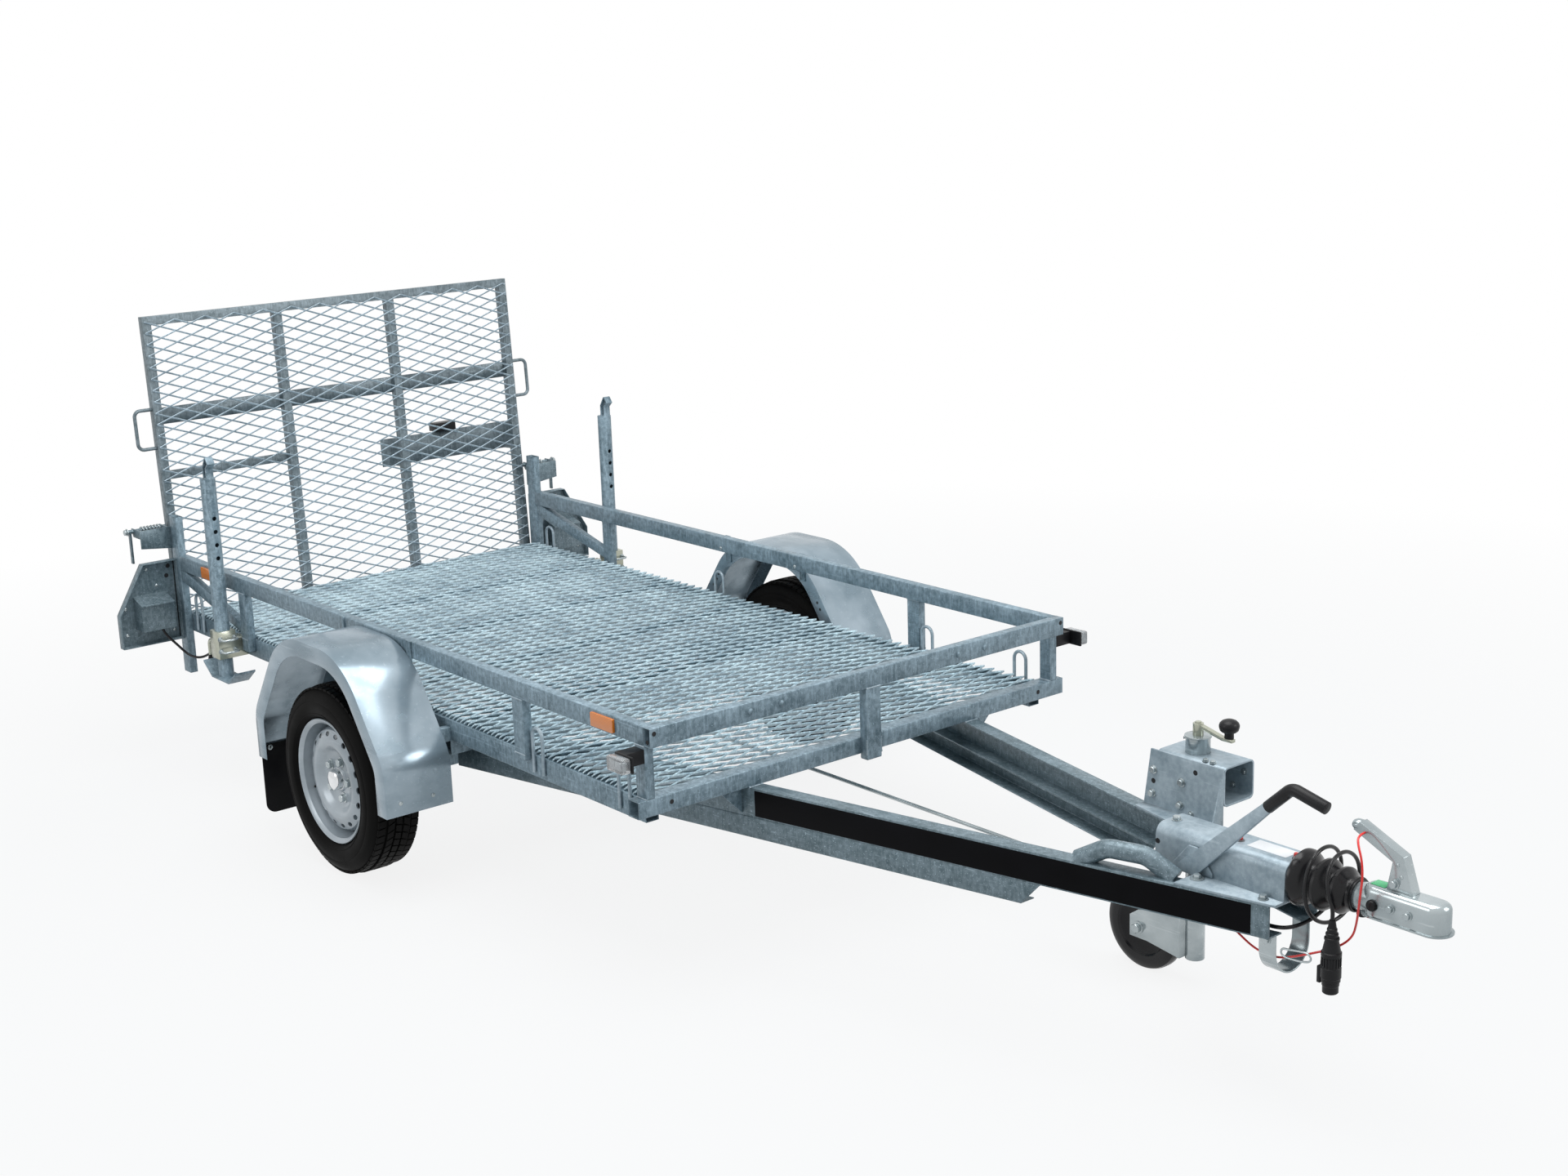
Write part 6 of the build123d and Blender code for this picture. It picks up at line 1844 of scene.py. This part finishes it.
@dataclass
class JockeyTrim:
    """Bolts, studs and grips of the jockey wheel, and its solid rubber tyre."""

    web_left: float = 210.0
    far_left: float = 320.0

    def bracket(self) -> None:
        """Adds the bolts, studs, near-black discs of painted shade for the holes, and the clamp's grip on the
        bracket.
        """
        web, far = self.web_left, self.far_left
        scatter("bracket_bolts", hex_bolt(0.0175), facing(
            RIGHT, (777, web, 553), (773, web, 492), (864, web, 541), (860, web, 482),
        ))
        scatter("bracket_studs", hex_bolt(0.013), [
            *facing(RIGHT, (884, far, 570), (962, far, 566), (930, far, 526)),
            *facing(UP, (922, 226, 604), (944, 226, 604)), *facing(RIGHT, (894, web, 468)),
        ])
        # Near-black discs of painted shade at the bracket's holes
        scatter("bracket_hole_shades", hole_shade_disc(6.5), facing(RIGHT, (776, web, 524), (905, web, 575)), "painted_hole_shade")
        pin = turning("pin", ((0, 0), (3, 0), (3, 6), (4.2, 7), (0, 9)), 14)
        scatter("grease_pin", pin, facing(Vector((-1, -0.25, 0)), (834, 262, 634)))
        nut = turning("nut", ((0, 0), (8, 0), (7.5, 4), (0, 5)), 20)
        scatter("crank_pin", nut, facing(UP, (862, 270, 676)), "yellow_zinc")
        rod = bar("clamp_rod", [ahead(893, 300, 506), ahead(893, 300, 470), ahead(887, 302, 452)], 0.005)
        seat(rod, "bright_zinc")
        grip = lathe("clamp_grip", (
            (0.0, 0.0), (0.006, 0.001), (0.0095, 0.012), (0.0092, 0.03), (0.0066, 0.044), (0.006, 0.047),
            (0.0, 0.048),
        ), ahead(885, 302, 412), Along.Z, 24)
        seat(grip, "black_plastic")

    def knob(self) -> None:
        """Turns the crank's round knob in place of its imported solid."""
        low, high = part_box("crank_knob")
        # Each row: radius, rise above the knob's foot
        rows = (
            (0.0, 0.0), (10.5, 0.0), (11.5, 1.5), (11.0, 11.0), (12.5, 14.0), (17.5, 16.5), (22.0, 20.5),
            (24.3, 28.0), (24.5, 33.0), (22.5, 38.5), (17.5, 43.5), (9.5, 46.8), (0.0, 47.8),
        )
        foot = ((low.x + high.x) / 2, (low.y + high.y) / 2, low.z)
        ball = lathe("crank_ball", [(radius * MM, rise * MM) for radius, rise in rows], foot, Along.Z, 48)
        seat(smooth(ball, 50), "black_plastic")
        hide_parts("crank_knob")

    def wheel(self) -> None:
        """Models the jockey's wheel: rubber tyre with rounded shoulders on a pressed centre."""
        low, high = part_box("jockey_wheel")
        centre = (low + high) / 2
        tread = (
            (0.072, 0.017), (0.078, 0.022), (0.09, 0.023), (0.103, 0.0215), (0.1105, 0.0165), (0.114, 0.007),
        )
        tyre = lathe("jockey_tyre", mirrored(tread), centre, Along.Y, 72)
        seat(tyre, "black_rubber", "jockey_wheel")
        half = (
            (0.0082, 0.0215), (0.019, 0.0215), (0.0205, 0.016), (0.034, 0.011), (0.055, 0.011),
            (0.068, 0.0165), (0.0735, 0.018),
        )
        disc = lathe("jockey_disc", mirrored(half), centre, Along.Y, 56, closed=True)
        seat(disc, "black_plastic", "jockey_wheel")
        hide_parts("jockey_wheel")
        scatter("jockey_axle_nuts", hex_bolt(0.026), [
            (centre + Vector((0, side * 0.033, 0)), Vector((0, side, 0))) for side, _ in SIDES
        ], body="jockey_fork")

    def build(self) -> None:
        """Adds everything on the jockey wheel."""
        self.bracket()
        self.knob()
        self.wheel()
        log.info("jockey wheel trimmed")


@dataclass
class GuardTrim:
    """Rivets and bolts of the mudguards and mud flaps, and the straps' bolts in the rail."""

    flap_sheet: float = 0.007
    flap_bolt_up: float = 0.284
    flap_inset: float = 12.0
    flange_left: float = 723.8
    rail_inner: float = 690.0
    strap_up: float = 652.0
    straps: tuple[float, float] = (-1533, -1147)
    rivet_rows: tuple[tuple[float, float], ...] = ((46, 298), (148, 297))
    hole_rows: tuple[tuple[float, float], ...] = (
        (-1596, 547), (-1606, 529), (-1624, 506), (-1080, 538), (-1067, 518),
    )

    def build(self) -> None:
        """Adds the fastenings on both sides."""
        low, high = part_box("mudguards")
        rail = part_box("rail_sides")[1].y
        rivets, flap_bolts, holes, rail_bolts = [], [], [], []
        for side, _ in SIDES:
            outward, inward = Vector((0, side, 0)), Vector((0, -side, 0))
            for inset, rise in self.rivet_rows:
                rivets.append(((high.x, side * (high.y - inset * MM), rise * MM), FORE))
                across = side * (high.y - (inset - self.flap_inset) * MM)
                flap_bolts.append(((low.x + self.flap_sheet, across, self.flap_bolt_up), FORE))
                flap_bolts.append(((low.x, across, self.flap_bolt_up), -FORE))
            for reach, rise in self.hole_rows:
                holes.append((ahead(reach, side * self.flange_left, rise), inward))
            for reach in self.straps:
                rail_bolts.append((ahead(reach, side * rail / MM, self.strap_up), outward))
                rail_bolts.append((ahead(reach, side * self.rail_inner, self.strap_up), inward))
        scatter("guard_rivets", dome_rivet(0.0065), rivets)
        scatter("flap_bolts", dome_rivet(0.0085), flap_bolts)
        # Near-black discs of painted shade at the mudguard flanges' holes
        scatter("guard_hole_shades", hole_shade_disc(4.8), holes, "painted_hole_shade")
        scatter("strap_bolts", dome_rivet(0.007), rail_bolts)
        log.info("mudguards trimmed")


@dataclass
class RearTrim:
    """Springs, screws, gaskets, lamps and looms at the rear, and the prop stands' grips."""

    latch_x: float = -2.2075
    latch_up: float = 0.774
    latch_nut_y: float = 0.845
    coil_y: float = 0.735
    coil_length: float = 0.068
    coil_radius: float = 0.0105
    coil_wire: float = 0.0022
    coil_turns: int = 6
    coil_steps: int = 12
    board_x: float = -2.1485
    gasket: tuple[float, float] = (0.7202, 0.7245)
    tail_width: float = 0.11
    front_width: float = 0.034
    front_base: float = 0.007
    stand_x: float = -1.7185
    stand_y: float = 0.762
    rod_near: float = 0.7375
    rod_far: float = 0.7865

    def latches(self) -> None:
        """Winds the spring round each latch bolt and adds the bolt's nut."""
        coils = []
        steps = self.coil_turns * self.coil_steps
        for side, _ in SIDES:
            points = []
            for step in range(steps + 1):
                angle = step * FULL_TURN / self.coil_steps
                points.append((
                    self.latch_x + self.coil_radius * math.cos(angle),
                    side * (self.coil_y + self.coil_length * step / steps),
                    self.latch_up + self.coil_radius * math.sin(angle),
                ))
            coils.append(bar("coil", points, self.coil_wire))
        seat(join("latch_springs", coils), "bright_zinc")
        scatter("latch_nuts", hex_bolt(0.02), [
            ((self.latch_x, side * self.latch_nut_y, self.latch_up), (0, side, 0)) for side, _ in SIDES
        ])

    def boards(self) -> None:
        """Adds the light boards' screws, gasket strips and looms."""
        face = self.board_x
        screw_rows = (
            (0.817, 0.652), (0.787, 0.592), (0.905, 0.44), (0.745, 0.53), (0.74, 0.43), (0.902, 0.53),
        )
        hole_rows = ((0.742, 0.652), (0.75, 0.62))
        loom_rows = (
            (-2.104, 0.802, 0.459), (-2.102, 0.796, 0.435), (-2.092, 0.762, 0.394), (-2.072, 0.732, 0.352),
            (-2.03, 0.706, 0.345), (-1.97, 0.686, 0.38), (-1.93, 0.674, 0.423),
        )
        screws, holes, strips, looms = [], [], [], []
        for side, _ in SIDES:
            screws += [((face, side * y, z), FORE) for y, z in screw_rows]
            holes += [((face, side * y, z), FORE) for y, z in hole_rows]
            near, far = sorted(side * y for y in self.gasket)
            strips.append(block("gasket", (face - 0.0005, near, 0.405), (face + 0.004, far, 0.672)))
            looms.append(bar("loom", [(x, side * y, z) for x, y, z in loom_rows], 0.0042, curved=True))
        scatter("board_screws", dome_rivet(0.006), screws)
        # Near-black discs of painted shade at the light boards' holes
        scatter("board_hole_shades", hole_shade_disc(7.5), holes, "painted_hole_shade")
        seat(join("board_gaskets", strips), "black_rubber")
        seat(join("lamp_looms", looms), "black_rubber")

    def tail_lamps(self) -> None:
        """Models each rear lamp as a black back with three lenses."""
        low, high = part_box("tail_lamps")
        tall = high.z - low.z
        backs = []
        for side, name in SIDES:
            near, far = sorted((side * (high.y - self.tail_width), side * high.y))
            backs.append(block("lamp_back", (high.x - 0.01, near, low.z), (high.x, far, high.z), 0.002))
            for colour, start, end in (("orange", 0.68, 0.98), ("red", 0.24, 0.67), ("clear", 0.02, 0.23)):
                lens = block(
                    f"tail_{colour}_{name}", (low.x, near + 0.002, low.z + tall * start),
                    (high.x - 0.008, far - 0.002, low.z + tall * end), 0.004,
                )
                seat(lens, f"{colour}_lens")
        back = seat(join("tail_lamp_backs", backs), "black_plastic")
        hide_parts("tail_lamps")

    def front_lamps(self) -> None:
        """Models each front lamp as a black base and a clear lens over its bulb holder."""
        low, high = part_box("front_lamps")
        middle = (low.x + high.x) / 2
        shells, cores = [], []
        for side, name in SIDES:
            near, far = sorted((side * (high.y - self.front_width), side * high.y))
            seam = near + self.front_base if side > 0 else far - self.front_base
            base, glass = ((near, seam), (seam, far)) if side > 0 else ((seam, far), (near, seam))
            shells.append(block("lamp_base", (low.x, base[0], low.z), (high.x, base[1], high.z), 0.003))
            lens = block(
                f"front_lens_{name}", (low.x + 0.0015, glass[0], low.z + 0.0015),
                (high.x - 0.0015, glass[1], high.z - 0.0015), 0.006,
            )
            seat(lens, "clear_lens")
            cores.append(block(
                "lamp_core", (low.x + 0.012, glass[0] + 0.004, low.z + 0.01),
                (high.x - 0.012, glass[1] - 0.008, high.z - 0.01), 0.003,
            ))
            cores.append(block(
                "lamp_rib", (middle - 0.0012, glass[0] + 0.002, low.z + 0.004),
                (middle + 0.0012, glass[1] - 0.003, high.z - 0.004),
            ))
        seat(join("front_lamp_cores", cores), "bright_zinc")
        shell = seat(join("front_lamp_bases", shells), "black_plastic")
        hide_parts("front_lamps")

    def stands(self) -> None:
        """Adds the clamps' rods and nuts, and the black grips of their screws."""
        x = self.stand_x
        grip_rows = (
            (0.0, -0.004), (0.006, -0.003), (0.0088, 0.006), (0.0092, 0.03), (0.0075, 0.042), (0.0062, 0.045),
            (0.0, 0.046),
        )
        rods, nuts, grips = [], [], []
        for side, _ in SIDES:
            near, far, bend = side * self.rod_near, side * self.rod_far, side * 0.006
            for up in (0.452, 0.492):
                rods.append(bar("rod", [
                    (x + 0.02, near, up), (x + 0.056, near, up), (x + 0.062, near + bend, up),
                    (x + 0.062, far - bend, up), (x + 0.056, far, up), (x + 0.02, far, up),
                ], 0.0036))
                nuts += [((x + 0.03, near, up), FORE), ((x + 0.03, far, up), FORE)]
            grips.append(lathe("grip", grip_rows, (x - 0.109, side * self.stand_y, 0.366), Along.Z, 24))
        seat(join("stand_rods", rods), "bright_zinc")
        scatter("stand_nuts", hex_bolt(0.013), nuts)
        seat(join("stand_grips", grips), "black_plastic")

    def build(self) -> None:
        """Adds everything at the rear."""
        self.latches()
        self.boards()
        self.tail_lamps()
        self.front_lamps()
        self.stands()
        log.info("rear trimmed")


RING_REACHES = (-150, -540, -1560, -2590)


@dataclass
class Rings:
    """Lashing rings bent from round bar."""

    half: float = 0.023
    radius: float = 0.005
    steps: int = 10

    def build(self) -> None:
        """Bends all eight rings in place of their faceted solids."""
        low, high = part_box("lashing_rings")
        top = high.z - self.radius - self.half
        angles = [step * math.pi / self.steps for step in range(self.steps + 1)]
        arch = [(-self.half * math.cos(angle), top + self.half * math.sin(angle)) for angle in angles]
        outline = [(-self.half, low.z), *arch, (self.half, low.z)]
        rings = []
        for reach in RING_REACHES:
            for side, _ in SIDES:
                x = (RAIL_FRONT + reach) * MM
                y = side * (high.y - self.radius)
                rings.append(bar("ring", [(x + along, y, up) for along, up in outline], self.radius))
        piece = seat(join("bent_rings", rings), "galvanised_pale")
        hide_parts("lashing_rings")
        log.info("rings bent")


@dataclass
class Welds:
    """Weld beads where the posts, braces and gussets meet the rail and the frame."""

    post_bead: float = 0.0022
    front_bead: float = 0.0024
    gusset_bead: float = 0.003
    post_faces: tuple[float, float] = (694.5, 719.5)
    rail_foot: float = 640.0
    ring_half: float = 23.0
    ring_shift: float = -5.0

    def build(self) -> None:
        """Lays the beads."""
        # Each row: two ends in millimetres, radius
        rows = []
        for reach, half, foot in ((-47, 20, 502), (-595, 25, 487), (-2213, 21, 487)):
            for side, _ in SIDES:
                for up in (self.rail_foot - 1, foot + 1):
                    for face in self.post_faces:
                        y = side * face
                        rows.append(((reach - half, y, up), (reach + half, y, up), self.post_bead))
        for y in (-25, 25):
            rows.append(((-1, y, 458), (-1, y, 500), self.front_bead))
        rows.append(((-1, -24, 641), (-1, 24, 641), self.front_bead))
        for side, _ in SIDES:
            rows.append(((-27, side * 403, 456), (-27, side * 358, 456), self.gusset_bead))
            for reach in RING_REACHES:
                for edge in (-self.ring_half, self.ring_half):
                    x, y = reach + edge + self.ring_shift, side * 697
                    rows.append(((x, y, 448), (x, y, 478), self.post_bead))
        beads = [weld_bead(ahead(*start), ahead(*end), radius) for start, end, radius in rows]
        seat(join("weld_beads", beads), "galvanised_pale")
        log.info("welds laid")


def build_all(steps: Sequence[Callable[[], None]]) -> None:
    """Runs the building steps in their order.

    Args:
        steps: The steps.
    """
    for step in steps:
        step()


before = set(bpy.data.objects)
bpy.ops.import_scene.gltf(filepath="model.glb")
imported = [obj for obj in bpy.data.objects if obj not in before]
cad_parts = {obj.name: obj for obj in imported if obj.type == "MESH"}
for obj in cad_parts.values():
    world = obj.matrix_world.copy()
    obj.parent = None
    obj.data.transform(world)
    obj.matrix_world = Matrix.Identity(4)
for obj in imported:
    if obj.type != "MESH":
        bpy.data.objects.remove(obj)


def main() -> None:
    """Builds the stage, the finishes and every piece of the trailer."""
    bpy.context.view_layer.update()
    Paintbox.build()
    build_all([
        Stage().build,
        *(dressing.build for dressing in DRESSINGS),
        *(Wheel(side, name).build for side, name in SIDES),
        Plug().build,
        *(cord.build for cord in CORDS),
        DeckMesh().build,
        RampMesh().build,
        FrameTrim().build,
        CouplingTrim().build,
        JockeyTrim().build,
        GuardTrim().build,
        RearTrim().build,
        Rings().build,
        Welds().build,
    ])


if __name__ == "__main__":
    main()
